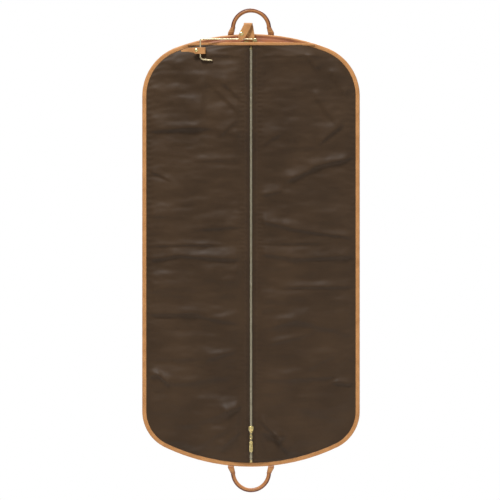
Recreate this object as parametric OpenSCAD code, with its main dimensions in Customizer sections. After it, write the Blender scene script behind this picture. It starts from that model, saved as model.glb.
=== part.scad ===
// Hanging garment bag: nylon panels bound in leather, full-length front zip, two rolled
// handles, a folding brass hook held by a snap tab, and a short snap strap.
// Millimetres. +Z up, front faces -Y. Origin: inside crown of the top handle's grip.

/* [Bag] */
// Half the width of the bag over the binding
half_w = 285; // [230:1:340]
// Drop from the origin to the top of the binding
top_drop = 55.8; // [52:0.1:62]
// Height of the bag over the binding, without the handles
bag_h = 1133.7; // [950:0.1:1350]
// Rise of the arched top edge above where the sides become straight
top_rise = 162.7; // [150:0.1:195]
// Radius of the top corners
top_corner_r = 135.9; // [114:0.1:140]
// Rise of the arched bottom edge
bottom_rise = 145.3; // [125:0.1:175]
// Radius of the bottom corners
bottom_corner_r = 104.7; // [88:0.1:120]
// Depth of the bag at the zip's top end
depth_top = 24; // [21:0.5:29]
// Depth of the bag at the zip's bottom end
depth_bottom = 6; // [5:0.5:8]
// Depth of the front cloth where it enters the binding
depth_edge = 2; // [1.7:0.1:2.4]

/* [Cloth and leather] */
// Thickness of the nylon cloth
cloth_t = 1.2; // [1:0.05:1.4]
// Visible width of the leather edge binding
binding_w = 11; // [9:0.5:13.5]
// Thickness of the bound edge, front to back
binding_t = 6; // [5:0.2:7.2]
// Thickness of straps and tabs
strap_t = 1.8; // [1.5:0.1:2.2]
// Height of the straight binding across the top of the front
front_binding_h = 8; // [6.5:0.5:9.5]
// Drop from the top of the bag to the top of that front binding
front_binding_drop = 23.2; // [21:0.1:26]
// Thickness of that front binding
front_binding_t = 2.4; // [2:0.1:3]

/* [Zip] */
// Width of the meshed teeth
chain_w = 6; // [5:0.1:7.2]
// Half the width of the smooth strip either side of the teeth
tape_half_w = 18; // [15:0.5:21]
// Thickness of the zip tape
tape_t = 1; // [0.8:0.1:1.2]
// Thickness of the teeth, front to back
tooth_t = 2.6; // [2.2:0.1:3.1]
// Drop from the top of the bag to the top end of the teeth
chain_top_drop = 42; // [38:0.5:50]
// Rise from the bottom of the bag to the bottom end of the teeth
chain_bottom_rise = 17; // [15:0.5:20]
// Height of the slider above the bottom end of the teeth
slider_rise = 83; // [70:0.5:99]
// Width of the slider
slider_w = 12.4; // [11:0.1:14.8]
// Length of the slider
slider_l = 14; // [12:0.1:16.8]

/* [Handles] */
// Thickness of the rolled grip
grip_d = 11.2; // [9.5:0.1:13]
// Radius of the grip's arch, to the middle of the roll
grip_arch_r = 47; // [40:0.5:56]
// Width of a handle anchor at its foot
anchor_w = 16; // [14:0.5:19]
// Thickness of a handle anchor
anchor_t = 8; // [7:0.1:9.5]

/* [Hook] */
// Diameter of the hook's wire
wire_d = 4; // [3.4:0.1:4.8]
// Length from the hook's pivot to its crown
hook_len = 142.5; // [120:0.5:150]
// Height of the hook's mouth, between the middles of its two legs
hook_drop = 53; // [45:0.5:60]
// Radius of the pivot pin
pin_r = 2; // [1.7:0.1:2.3]

/* [Snaps] */
// Diameter of the cap on the hook's tab
tab_cap_d = 10; // [8.5:0.1:12]
// Diameter of the cap on the strap
strap_cap_d = 11.4; // [9.5:0.1:13]

/* [Hidden] */
$fn = 64;
// Gap between pieces that move past each other
run_gap = 0.4;
// Gap where the bag's two halves meet at the fold
fold_gap = 0.6;
// Running clearance of the hook's eye on its pin
pin_clear = 0.06;

top_z = -top_drop;
bottom_z = top_z - bag_h;
top_spring_z = top_z - top_rise;
bottom_spring_z = bottom_z + bottom_rise;
fold_z = (top_z + bottom_z) / 2;
strip_top_z = top_z - front_binding_drop;
strip_bottom_z = strip_top_z - front_binding_h;
chain_top_z = top_z - chain_top_drop;
chain_bottom_z = bottom_z + chain_bottom_rise;
slider_z = chain_bottom_z + slider_rise;
inner_half_w = half_w - binding_w;

// --- Outline: a flat central arc joined to two tighter corner arcs -------------------

function arc_r(rise, corner_r) =
    (pow(half_w - corner_r, 2) + rise * rise - corner_r * corner_r) / (2 * (rise - corner_r));

// Height of the edge above the springing line at x, for an outline drawn in by inset
function edge_height(x, rise, corner_r, inset) =
    let (r = arc_r(rise, corner_r), cx = half_w - corner_r, ri = corner_r - inset,
         join_x = cx + ri * cx / (r - corner_r), ax = abs(x))
    ax <= join_x ? rise - r + sqrt(pow(r - inset, 2) - ax * ax)
                 : sqrt(max(0, ri * ri - pow(ax - cx, 2)));

// Half width of the outline at a height above the springing line
function edge_half_w(height, rise, corner_r, inset) =
    let (r = arc_r(rise, corner_r), cx = half_w - corner_r, ri = corner_r - inset,
         join_h = ri * (r - rise) / (r - corner_r))
    height <= join_h ? cx + sqrt(max(0, ri * ri - height * height))
                     : sqrt(max(1, pow(r - inset, 2) - pow(height + r - rise, 2)));

function top_edge_z(x, inset) = top_spring_z + edge_height(x, top_rise, top_corner_r, inset);
function bottom_edge_z(x, inset) =
    bottom_spring_z - edge_height(x, bottom_rise, bottom_corner_r, inset);
function half_width(z, inset) =
    z > top_spring_z ? edge_half_w(z - top_spring_z, top_rise, top_corner_r, inset)
    : z < bottom_spring_z
        ? edge_half_w(bottom_spring_z - z, bottom_rise, bottom_corner_r, inset)
        : half_w - inset;

// Points of an arched end from right to left, above its springing line
function arch_points(rise, corner_r, inset) =
    let (r = arc_r(rise, corner_r), cx = half_w - corner_r, ri = corner_r - inset,
         join = atan2(r - rise, cx), corner_steps = 14, crown_steps = 28,
         corner = [for (i = [0:corner_steps]) let (a = join * i / corner_steps)
                   [cx + ri * cos(a), ri * sin(a)]],
         crown = [for (i = [1:crown_steps - 1]) let (a = join + (180 - 2 * join) * i / crown_steps)
                  [(r - inset) * cos(a), rise - r + (r - inset) * sin(a)]])
    concat(corner, crown, [for (i = [corner_steps:-1:0]) [-corner[i][0], corner[i][1]]]);

module outline(inset) {
    top = arch_points(top_rise, top_corner_r, inset);
    bottom = arch_points(bottom_rise, bottom_corner_r, inset);
    polygon(concat([for (p = top) [p[0], top_spring_z + p[1]]],
                   [for (p = bottom) [-p[0], bottom_spring_z - p[1]]]));
}

// Everything above (side 1) or below (side -1) the fold
module half_plane(side) {
    translate([-half_w * 2, side > 0 ? fold_z + fold_gap / 2 : fold_z - fold_gap / 2 - bag_h * 2])
        square([half_w * 4, bag_h * 2]);
}

// Stands a drawing in X and Z up, as a slab from y_front back to y_back
module slab(y_front, y_back) {
    translate([0, y_back, 0]) rotate([90, 0, 0]) linear_extrude(y_back - y_front) children();
}

// --- Front surface: deepest along the zip, drawn in to the binding all round ----------

function depth_at(z) =
    depth_bottom + (depth_top - depth_bottom) * (z - bottom_z) / (strip_bottom_z - bottom_z);
function front_y(x, z) =
    -depth_edge - (depth_at(z) - depth_edge) * max(0, 1 - pow(x / half_width(z, binding_w), 2));

// A closed sheet between two surfaces, each given as a function of column and row
module sheet(cols, rows, back, front) {
    function at(side, i, j) = side * (cols + 1) * (rows + 1) + i * (rows + 1) + j;
    function wall(p, q) = [[at(1, q[0], q[1]), at(1, p[0], p[1]), at(0, p[0], p[1])],
                           [at(1, q[0], q[1]), at(0, p[0], p[1]), at(0, q[0], q[1])]];
    points = [for (side = [back, front]) for (i = [0:cols]) for (j = [0:rows])
              side(i / cols, j / rows)];
    faces = [
        for (i = [0:cols - 1]) for (j = [0:rows - 1]) each [
            [at(1, i, j), at(1, i, j + 1), at(1, i + 1, j + 1)],
            [at(1, i, j), at(1, i + 1, j + 1), at(1, i + 1, j)],
            [at(0, i, j), at(0, i + 1, j + 1), at(0, i, j + 1)],
            [at(0, i, j), at(0, i + 1, j), at(0, i + 1, j + 1)]],
        for (j = [0:rows - 1]) each wall([0, j], [0, j + 1]),
        for (j = [0:rows - 1]) each wall([cols, j + 1], [cols, j]),
        for (i = [0:cols - 1]) each wall([i, rows], [i + 1, rows]),
        for (i = [0:cols - 1]) each wall([i + 1, 0], [i, 0])];
    polyhedron(points, faces);
}

// A sheet that lies on the front surface, lifted off it by lift
module on_front(x0, x1, cols, rows, low, high, lift, t) {
    function x_at(u) = x0 + (x1 - x0) * u;
    function z_at(u, v) = low(x_at(u)) + (high(x_at(u)) - low(x_at(u))) * v;
    function point(u, v, off) = [x_at(u), front_y(x_at(u), z_at(u, v)) - off, z_at(u, v)];
    sheet(cols, rows, function(u, v) point(u, v, lift), function(u, v) point(u, v, lift + t));
}

// --- Panels and binding -----------------------------------------------------------

// The cloth and the zip's tapes end under the gusset, which lies on their top edge
gusset_t = 1.6;
panel_tuck = gusset_t;

module front_panel(side, part) {
    low = part > 0 ? function(x) fold_z + fold_gap / 2 : function(x) bottom_edge_z(x, binding_w);
    high = part > 0 ? function(x) min(top_edge_z(x, binding_w), strip_top_z - panel_tuck)
                    : function(x) fold_z - fold_gap / 2;
    x0 = side > 0 ? tape_half_w : -inner_half_w;
    x1 = side > 0 ? inner_half_w : -tape_half_w;
    color("#43342a") on_front(x0, x1, 12, 10, low, high, -cloth_t, cloth_t);
}

module back_panel(part) {
    color("#43342a") slab(depth_edge - cloth_t, depth_edge)
        intersection() { outline(binding_w); half_plane(part); }
}

module binding(part) {
    color("#c08a52") slab(-binding_t / 2, binding_t / 2) intersection() {
        difference() { outline(0); outline(binding_w); }
        half_plane(part);
    }
}

// The straight binding ends where its lower edge runs onto the edge binding
strip_end_x = half_width(strip_bottom_z, 0) - binding_w;

module front_top_binding() {
    color("#b98350") on_front(-strip_end_x, strip_end_x, 28, 1,
        function(x) strip_bottom_z, function(x) strip_top_z,
        max(run_gap, binding_t / 2 - depth_edge + 0.2), front_binding_t);
}

// --- Gusset and what is fixed through it --------------------------------------------

gusset_end_x = half_width(strip_top_z, binding_w) - 8;

// The leather sags between its front and back edges, clear of the hook's eye
module gusset() {
    front_z = strip_top_z;
    function x_at(u) = gusset_end_x * (2 * u - 1);
    function point(u, v, off) =
        let (x = x_at(u), y1 = front_y(x, strip_top_z), z0 = top_edge_z(x, binding_w))
        [x, y1 + (-binding_t / 2 - y1) * v, front_z + (z0 - front_z) * v * v - off];
    color("#a0603a")
        sheet(24, 5, function(u, v) point(u, v, gusset_t), function(u, v) point(u, v, 0));
}

// --- Hook, its bracket and the plates inside the top --------------------------------

wire_r = wire_d / 2;
pivot_x = 10;
eye_r = pin_r + 3;
eye_half_t = wire_r - 0.3;
pivot_z = strip_top_z + eye_r + run_gap;
// The hook lies in one upright plane in front of the bag's face, and clear of its leather tab
crown_x = pivot_x - hook_len;
tab_lift = max(run_gap, binding_t / 2 - depth_edge + 0.3);
hook_y = min(-depth_top + 1,
             front_y(crown_x, top_z - hook_drop) - tab_lift - strap_t - wire_r - run_gap);
shank_z = pivot_z + eye_r - wire_r - 0.5;
shank_bend_r = 6;
mouth_bend_r = 10;
return_z = shank_z - hook_drop;
tip_len = 23;
tip_slope = 5;
bracket_t = 1.4;
bracket_front = hook_y + wire_r + run_gap;
bracket_back = bracket_front + bracket_t;
ear_x = -13.5;
ear_r = 7.5;
bracket_h = 15;
rivet_r = 1.6;
rivet_z = strip_top_z - 7;
rivet_xs = [ear_x - 2, -1.5, pivot_x + 2];
backing_half_w = 44;
backing_t = 1.5;
riser_back = -(bracket_back + strap_t);
bar_r = 2.5;
bar_half_l = 42;
bar_z = strip_top_z - 25;
post_w = 4;
post_x = 36;
post_d = 7;

// Cylinder along Y between two depths
module rod_y(x, z, r, y0, y1) {
    translate([x, y0, z]) rotate([-90, 0, 0]) cylinder(r = r, h = y1 - y0);
}

// Points round a bend of the wire, in X and Z
function bend(x, z, r, a0, a1, steps) =
    [for (i = [0:steps]) let (a = a0 + (a1 - a0) * i / steps) [x + r * cos(a), z + r * sin(a)]];

hook_path = [
    [pivot_x, shank_z],
    each bend(crown_x + shank_bend_r, shank_z - shank_bend_r, shank_bend_r, 90, 180, 3),
    each bend(crown_x + mouth_bend_r, return_z + mouth_bend_r, mouth_bend_r, 180, 270, 4),
    [crown_x + mouth_bend_r + tip_len * cos(tip_slope), return_z - tip_len * sin(tip_slope)]];

// Round wire along points in the hook's plane: straight runs between knuckles. The runs are
// drawn a hair thinner than the knuckles, so that each joint closes cleanly.
module wire(path) {
    for (i = [0:len(path) - 2]) {
        run = path[i + 1] - path[i];
        translate([path[i][0], hook_y, path[i][1]]) rotate([0, atan2(run[0], run[1]), 0]) {
            cylinder(r = wire_r - 0.04, h = norm(run));
            if (i > 0) sphere(wire_r);
            if (i == len(path) - 2) translate([0, 0, norm(run)]) sphere(wire_r);
        }
    }
}

module hanging_hook() {
    color("#d9c48c") difference() {
        union() {
            rod_y(pivot_x, pivot_z, eye_r, hook_y - eye_half_t, hook_y + eye_half_t);
            wire(hook_path);
        }
        rod_y(pivot_x, pivot_z, pin_r + pin_clear, hook_y - eye_r, hook_y + eye_r);
    }
}

module hook_pin() {
    head_t = 1.4;
    color("#e0c98e") {
        rod_y(pivot_x, pivot_z, pin_r, hook_y - wire_r - run_gap, bracket_back);
        rod_y(pivot_x, pivot_z, pin_r + 1.2, hook_y - wire_r - run_gap - head_t,
              hook_y - wire_r - run_gap);
    }
}

module rivet_holes() {
    for (x = rivet_xs) translate([x, rivet_z]) circle(rivet_r);
}

module hook_bracket() {
    ear_z = strip_top_z - 3.3;
    color("#c9a860") slab(bracket_front, bracket_back) difference() {
        union() {
            translate([pivot_x, pivot_z]) circle(eye_r + 1);
            translate([ear_x, ear_z]) circle(ear_r);
            translate([ear_x - ear_r, strip_top_z - bracket_h])
                square([pivot_x + eye_r + 1 - ear_x + ear_r, bracket_h - 3.3]);
            translate([pivot_x - eye_r - 1, strip_top_z - bracket_h])
                square([2 * eye_r + 2, pivot_z - strip_top_z + bracket_h]);
        }
        translate([pivot_x, pivot_z]) circle(pin_r);
        rivet_holes();
    }
}

module backing_plate() {
    color("#9a9a96") slab(-riser_back, -riser_back + backing_t) difference() {
        translate([-backing_half_w, strip_top_z - bracket_h - 3])
            square([2 * backing_half_w, bracket_h - 1]);
        rivet_holes();
    }
}

module bracket_rivets() {
    head_t = 1;
    color("#d2b36c") for (x = rivet_xs) {
        rod_y(x, rivet_z, rivet_r, bracket_front, -riser_back + backing_t);
        rod_y(x, rivet_z, rivet_r + 1.2, bracket_front - head_t, bracket_front);
        rod_y(x, rivet_z, rivet_r + 1.2, -riser_back + backing_t, -riser_back + backing_t + head_t);
    }
}

post_front = -riser_back + backing_t;
bar_y = post_front + post_d - bar_r - 1;

module hanger_bar_posts() {
    color("#9a9a96") for (s = [-1, 1]) difference() {
        translate([s * post_x - post_w / 2, post_front, bar_z - bar_r - 1.5])
            cube([post_w, post_d, strip_top_z - bracket_h + 5 - bar_z + bar_r + 1.5]);
        translate([s * post_x - post_w, bar_y, bar_z]) rotate([0, 90, 0])
            cylinder(r = bar_r, h = 2 * post_w);
    }
}

module hanger_bar() {
    color("#b4b4b0") translate([-bar_half_l, bar_y, bar_z]) rotate([0, 90, 0])
        cylinder(r = bar_r, h = 2 * bar_half_l);
}

// --- Snap strap over the hook's root -------------------------------------------------

strap_fold_y = hook_y + (bracket_back + strap_t - hook_y) / 2 - (wire_r + run_gap + strap_t) / 2;
strap_fold_r = (bracket_back + strap_t) - strap_fold_y;
strap_fold_z = top_z + 22.8;
strap_front = strap_fold_y - strap_fold_r;
strap_w = 20;
strap_fold_x = -9;

module strap_riser() {
    top = strap_fold_z - strap_fold_r - run_gap;
    foot = strip_top_z - bracket_h + 2;
    color("#c08a52") slab(bracket_back, bracket_back + strap_t) difference() {
        polygon([[-11, foot], [8, foot], [7, top - 20], [4, top], [-15, top], [-13, top - 20]]);
        rivet_holes();
    }
}

// Half ring of leather where a strap turns back on itself
module fold_ring(r, w) {
    rotate_extrude(angle = 180) translate([r - strap_t, 0]) square([strap_t, w]);
}

module strap_flap() {
    z = strap_fold_z;
    x = strap_fold_x;
    color("#c08a52") {
        slab(strap_front, strap_front + strap_t) polygon([
            [x - strap_w / 2, z], [x + strap_w / 2, z], [x - 4.4, z - 27.5], [x - 7.2, z - 34.6],
            [x - 20, z - 43], [x - 24.3, z - 37], [x - 24.3, z - 27.5]]);
        translate([x - strap_w / 2, strap_fold_y, z]) rotate([90, 0, 90])
            fold_ring(strap_fold_r, strap_w);
    }
}

// Snap cap: a rimmed disc with a raised centre towards the front
module snap_cap(x, z, d, y_back) {
    rim_t = 0.8;
    color("#e0c070") {
        rod_y(x, z, d / 2, y_back - rim_t, y_back);
        rod_y(x, z, d * 0.38, y_back - rim_t * 2, y_back - rim_t);
    }
}

module strap_snap_cap() { snap_cap(strap_fold_x - 15.8, strap_fold_z - 24, strap_cap_d, strap_front); }

module strap_snap_stud() {
    color("#c9a860") rod_y(-10, strap_fold_z - 21, 3.2, bracket_front - 0.2, bracket_back);
}

// --- Tab that holds the hook's crown ---------------------------------------------------

tab_top_z = strip_top_z - 13;
tab_h = 19;
tab_left_x = crown_x - 50.5;
tab_fold_x = crown_x + 8.5;
tab_front = hook_y - wire_r - run_gap - strap_t;
tab_fold_back = front_y(tab_fold_x, tab_top_z - tab_h / 2) - tab_lift;
tab_fold_r = (tab_fold_back - tab_front) / 2;
tab_fold_y = tab_front + tab_fold_r;
tab_cap_x = crown_x - 10;
tab_cap_z = tab_top_z - 7.5;
tab_tongue_l = 31;

stud_foot_r = 3.4;

module tab_base() {
    color("#c08a52") difference() {
        on_front(tab_left_x, tab_fold_x - tab_fold_r - run_gap, 10, 2,
            function(x) tab_top_z - tab_h * (0.55 + 0.45 * (x - tab_left_x) / (tab_fold_x - tab_left_x)),
            function(x) min(tab_top_z, top_edge_z(x, binding_w)), tab_lift, strap_t);
        rod_y(tab_cap_x, tab_cap_z, stud_foot_r, -2 * depth_top, 0);
    }
}

module tab_tongue() {
    end_r = 6;
    low = tab_top_z - tab_h + 1.5;
    high = tab_top_z - 1;
    mid = (low + high) / 2;
    color("#c58f56") {
        slab(tab_front, tab_front + strap_t) {
            translate([tab_fold_x - tab_tongue_l + end_r * 2, low])
                square([tab_tongue_l - end_r * 2, high - low]);
            translate([tab_fold_x - tab_tongue_l + end_r * 1.5, mid]) circle((high - low) / 2);
        }
        translate([tab_fold_x, tab_fold_y, low]) rotate([0, 0, -90])
            fold_ring(tab_fold_r, high - low);
    }
}

module tab_snap_cap() { snap_cap(tab_cap_x, tab_cap_z, tab_cap_d, tab_front); }

module tab_snap_stud() {
    foot = front_y(tab_cap_x, tab_cap_z) - tab_lift - strap_t / 2;
    color("#c9a860") {
        rod_y(tab_cap_x, tab_cap_z, 1.8, tab_front + strap_t + run_gap, foot);
        rod_y(tab_cap_x, tab_cap_z, stud_foot_r, foot - strap_t, foot);
    }
}

// --- Zip: straight, leaning forwards with the bag's wedge shape -------------------------

zip_lean = atan((depth_top - depth_bottom) / (strip_bottom_z - bottom_z));
// Height along the zip, from the bottom end of the teeth
function along(z) = (z - chain_bottom_z) / cos(zip_lean);

module on_zip(z) {
    translate([0, -depth_at(chain_bottom_z), chain_bottom_z]) rotate([zip_lean, 0, 0])
        translate([0, 0, along(z)]) children();
}

tooth_front = -1;
// Half the gap between the rows of teeth, for the slider's post
row_gap = 0.8;
post_half_w = row_gap - 0.35;

module zip_length(part, low_z, high_z, x0, x1, y0, t) {
    z0 = part > 0 ? fold_z + fold_gap / 2 : low_z;
    z1 = part > 0 ? high_z : fold_z - fold_gap / 2;
    on_zip(z0) translate([x0, y0, 0]) cube([x1 - x0, t, along(z1) - along(z0)]);
}

module zip_tape(side, part) {
    x0 = side > 0 ? chain_w / 2 : -tape_half_w;
    color("#3f3128") zip_length(part, bottom_z + binding_w + 1, strip_top_z - panel_tuck,
        x0, x0 + tape_half_w - chain_w / 2, 0, tape_t);
}

module zip_teeth(side, part) {
    x0 = side > 0 ? row_gap : -chain_w / 2;
    color("#b5a57a") zip_length(part, chain_bottom_z, chain_top_z,
        x0, x0 + chain_w / 2 - row_gap, tooth_front, tooth_t);
}

module zip_top_stops() {
    stop_l = 4;
    color("#c9b070") for (s = [-1, 1]) on_zip(chain_top_z)
        translate([s * (chain_w / 2 + row_gap) / 2 - (chain_w / 2 - row_gap) / 2, tooth_front, 0])
            cube([chain_w / 2 - row_gap, tooth_t, stop_l]);
}

module zip_bottom_stop() {
    stop_l = 5.6;
    color("#c9b070") on_zip(chain_bottom_z)
        translate([-chain_w / 2, tooth_front - 0.3, -stop_l])
            cube([chain_w, tooth_t + 0.6, stop_l]);
}

plate_t = 1.2;
slider_front = tooth_front - run_gap;
slider_back = tooth_front + tooth_t + run_gap;
lug_r = 2.6;
lug_bore_r = 1.5;
lug_half_w = 1.2;
lug_y = slider_front - plate_t - lug_r;

module slider_body() {
    post_l = 5;
    color("#e0cc88") on_zip(slider_z) {
        difference() {
            union() {
                translate([-slider_w / 2, slider_front - plate_t, -slider_l / 2])
                    cube([slider_w, plate_t, slider_l]);
                translate([-lug_half_w, lug_y, 0]) rotate([0, 90, 0])
                    cylinder(r = lug_r, h = 2 * lug_half_w);
                translate([-lug_half_w, lug_y, -lug_r])
                    cube([2 * lug_half_w, lug_r, 2 * lug_r]);
            }
            translate([-slider_w, lug_y, 0]) rotate([0, 90, 0])
                cylinder(r = lug_bore_r, h = 2 * slider_w);
        }
        translate([-slider_w / 2, slider_back, -slider_l / 2])
            cube([slider_w, plate_t, slider_l]);
        translate([-post_half_w, slider_front - 0.1, slider_l / 2 - post_l])
            cube([2 * post_half_w, slider_back - slider_front + 0.2, post_l]);
    }
}

link_wire_r = 0.8;
link_w = 5.6;
link_pitch = 8.2;
link_play = 0.2;
link_count = 4;

// One oval link, its top wire's middle at the origin, hanging down in the plane of X and Z
module chain_link() {
    len = link_pitch + 2 * link_wire_r + link_play;
    bend_r = link_w / 2;
    for (end = [0, 1])
        translate([0, 0, end ? -len + bend_r : -bend_r]) rotate([90, end ? 180 : 0, 0])
            rotate_extrude(angle = 180) translate([bend_r, 0]) circle(link_wire_r, $fn = 24);
    for (s = [-1, 1]) translate([s * bend_r, 0, -len + bend_r])
        cylinder(r = link_wire_r, h = len - 2 * bend_r, $fn = 24);
}

module pull_chain() {
    color("#e0cc88") on_zip(slider_z) translate([0, lug_y, 0])
        for (i = [0:link_count - 1])
            translate([0, 0, -i * link_pitch]) rotate([0, 0, i % 2 ? 90 : 0]) chain_link();
}

pull_hole_r = 2;
// The tab hangs with its hole's top on the last link's lower wire
pull_eye_z = -link_count * link_pitch - link_wire_r - link_play - pull_hole_r + 0.3;
pull_l = 26;
pull_w = 9;
pull_t = 1.6;

module pull_tab() {
    color("#ead9a0") on_zip(slider_z) translate([0, lug_y, pull_eye_z])
        slab(-pull_t / 2, pull_t / 2) difference() {
            union() {
                circle(pull_w / 2 - 0.3);
                translate([0, pull_w / 2 - pull_l]) circle(pull_w / 2);
                translate([1 - pull_w / 2, pull_w / 2 - pull_l]) square([pull_w - 2, pull_l - pull_w / 2]);
            }
            circle(pull_hole_r);
        }
}

// --- Handles: a rolled grip between two anchors, hinged on the bag's edge ---------------

grip_r = grip_d / 2;
arch_centre_z = -(grip_arch_r - grip_r);
anchor_x = grip_arch_r + 5.5;
top_pivot_z = top_edge_z(anchor_x - anchor_w / 2, 0) + anchor_t / 2 + run_gap;
bottom_pivot_z = bottom_edge_z(anchor_x - anchor_w / 2, 0) - anchor_t / 2 - run_gap;
anchor_l = max(12, arch_centre_z - top_pivot_z + 3);

module grip() {
    rotate([90, 0, 0]) rotate_extrude(angle = 180) translate([grip_arch_r, 0]) circle(grip_r);
}

// Flared leather anchor, its foot rounded about the hinge line; side is -1 or 1
module anchor(side) {
    neck = grip_d + 1.6;
    union() {
        slab(-anchor_t / 2, anchor_t / 2)
            polygon([[side * anchor_x - anchor_w / 2, 0], [side * anchor_x + anchor_w / 2, 0],
                     [side * grip_arch_r + neck / 2, anchor_l],
                     [side * grip_arch_r - neck / 2, anchor_l]]);
        translate([side * anchor_x - anchor_w / 2, 0, 0]) rotate([0, 90, 0])
            cylinder(r = anchor_t / 2, h = anchor_w);
    }
}

module top_handle_grip() { color("#b5764a") translate([0, 0, arch_centre_z]) grip(); }
module top_handle_anchor(side) { color("#b9794a") translate([0, 0, top_pivot_z]) anchor(side); }
module bottom_handle_grip() {
    color("#b5764a") translate([0, 0, bottom_pivot_z - arch_centre_z + top_pivot_z])
        mirror([0, 0, 1]) grip();
}
module bottom_handle_anchor(side) {
    color("#b9794a") translate([0, 0, bottom_pivot_z]) mirror([0, 0, 1]) anchor(side);
}

back_panel(1);  // back_panel_upper
back_panel(-1);  // back_panel_lower
front_panel(-1, 1);  // front_left_upper
front_panel(-1, -1);  // front_left_lower
front_panel(1, 1);  // front_right_upper
front_panel(1, -1);  // front_right_lower
binding(1);  // binding_upper
binding(-1);  // binding_lower
front_top_binding();
gusset();
zip_tape(-1, 1);  // zip_tape_left_upper
zip_tape(-1, -1);  // zip_tape_left_lower
zip_tape(1, 1);  // zip_tape_right_upper
zip_tape(1, -1);  // zip_tape_right_lower
zip_teeth(-1, 1);  // zip_teeth_left_upper
zip_teeth(-1, -1);  // zip_teeth_left_lower
zip_teeth(1, 1);  // zip_teeth_right_upper
zip_teeth(1, -1);  // zip_teeth_right_lower
zip_top_stops();
zip_bottom_stop();
slider_body();
pull_chain();
pull_tab();
top_handle_grip();
top_handle_anchor(-1);  // top_handle_anchor_left
top_handle_anchor(1);  // top_handle_anchor_right
bottom_handle_grip();
bottom_handle_anchor(-1);  // bottom_handle_anchor_left
bottom_handle_anchor(1);  // bottom_handle_anchor_right
hanging_hook();
hook_pin();
hook_bracket();
backing_plate();
bracket_rivets();
hanger_bar();
hanger_bar_posts();
strap_riser();
strap_flap();
strap_snap_cap();
strap_snap_stud();
tab_base();
tab_tongue();
tab_snap_cap();
tab_snap_stud();
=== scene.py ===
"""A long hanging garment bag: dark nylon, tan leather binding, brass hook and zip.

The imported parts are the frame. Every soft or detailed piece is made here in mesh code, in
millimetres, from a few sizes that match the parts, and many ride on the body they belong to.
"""
import math

import bpy
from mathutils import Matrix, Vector, noise


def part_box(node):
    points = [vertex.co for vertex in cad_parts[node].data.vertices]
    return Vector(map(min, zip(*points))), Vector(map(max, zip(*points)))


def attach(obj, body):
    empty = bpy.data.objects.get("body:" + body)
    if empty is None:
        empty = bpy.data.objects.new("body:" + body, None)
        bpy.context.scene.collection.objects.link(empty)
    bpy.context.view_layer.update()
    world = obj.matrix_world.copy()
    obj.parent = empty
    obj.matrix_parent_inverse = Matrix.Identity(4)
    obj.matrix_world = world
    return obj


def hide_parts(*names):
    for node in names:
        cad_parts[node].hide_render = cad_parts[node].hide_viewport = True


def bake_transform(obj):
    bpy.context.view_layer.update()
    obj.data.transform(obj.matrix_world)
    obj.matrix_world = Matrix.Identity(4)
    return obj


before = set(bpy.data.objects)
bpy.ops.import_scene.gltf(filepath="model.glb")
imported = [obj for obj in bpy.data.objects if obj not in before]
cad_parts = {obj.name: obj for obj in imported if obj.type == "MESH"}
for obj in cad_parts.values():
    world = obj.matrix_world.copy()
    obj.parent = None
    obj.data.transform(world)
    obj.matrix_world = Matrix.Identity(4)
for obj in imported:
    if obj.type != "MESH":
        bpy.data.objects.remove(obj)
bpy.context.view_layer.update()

MM = 0.001
ACROSS = Vector((1, 0, 0))
BACKWARD = Vector((0, 1, 0))
FORWARD = Vector((0, -1, 0))
UPWARD = Vector((0, 0, 1))

# ----- Sizes, in millimetres, read from the frame's boxes or named as the design names them ---


def low(node, axis):
    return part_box(node)[0][axis] / MM


def high(node, axis):
    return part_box(node)[1][axis] / MM


HALF_W = high("binding_upper", 0)
TOP_Z = high("binding_upper", 2)
BOTTOM_Z = low("binding_lower", 2)
FOLD_Z = (low("binding_upper", 2) + high("binding_lower", 2)) / 2
EDGE_T = high("binding_upper", 1) - low("binding_upper", 1)
STRIP_TOP = high("front_top_binding", 2)
STRIP_BOTTOM = low("front_top_binding", 2)
TEETH_TOP = high("zip_teeth_left_upper", 2)
TEETH_BOTTOM = low("zip_teeth_left_lower", 2)
DEPTH_TOP = 24.0
DEPTH_BOTTOM = 6.0
DEPTH_EDGE = 2.0
BINDING_W = 11.0
SEAM_X = 18.0
TOP_RISE, TOP_CORNER = 162.7, 135.9
BOTTOM_RISE, BOTTOM_CORNER = 145.3, 104.7
TOP_SPRING = TOP_Z - TOP_RISE
BOTTOM_SPRING = BOTTOM_Z + BOTTOM_RISE
ZIP_LEAN = math.atan((DEPTH_TOP - DEPTH_BOTTOM) / (STRIP_BOTTOM - BOTTOM_Z))


# ----- Camera, light and floor ---------------------------------------------------------------

SHOT_DISTANCE = 8.0
SHOT_FIELD = 1.31
SHOT_CENTRE = (-0.0026, -0.6217)
SENSOR = 36.0


def make_camera():
    data = bpy.data.cameras.new("camera")
    data.sensor_width = SENSOR
    data.lens = SENSOR * SHOT_DISTANCE / SHOT_FIELD
    data.clip_end = 100
    camera = bpy.data.objects.new("camera", data)
    camera.location = (SHOT_CENTRE[0], -SHOT_DISTANCE, SHOT_CENTRE[1])
    camera.rotation_euler = (math.radians(90), 0, 0)
    bpy.context.collection.objects.link(camera)
    bpy.context.scene.camera = camera


def area_light(name, place, target, size, power):
    data = bpy.data.lights.new(name, "AREA")
    data.size = size
    data.energy = power
    lamp = bpy.data.objects.new(name, data)
    lamp.location = place
    aim = Vector(target) - Vector(place)
    lamp.rotation_euler = aim.to_track_quat("-Z", "Y").to_euler()
    bpy.context.collection.objects.link(lamp)


def srgb(code):
    """A hex colour as the linear values that shaders take."""
    channels = [int(code[i:i + 2], 16) / 255 for i in (1, 3, 5)]
    return tuple(c / 12.92 if c <= 0.04045 else ((c + 0.055) / 1.055) ** 2.4 for c in channels)


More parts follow.
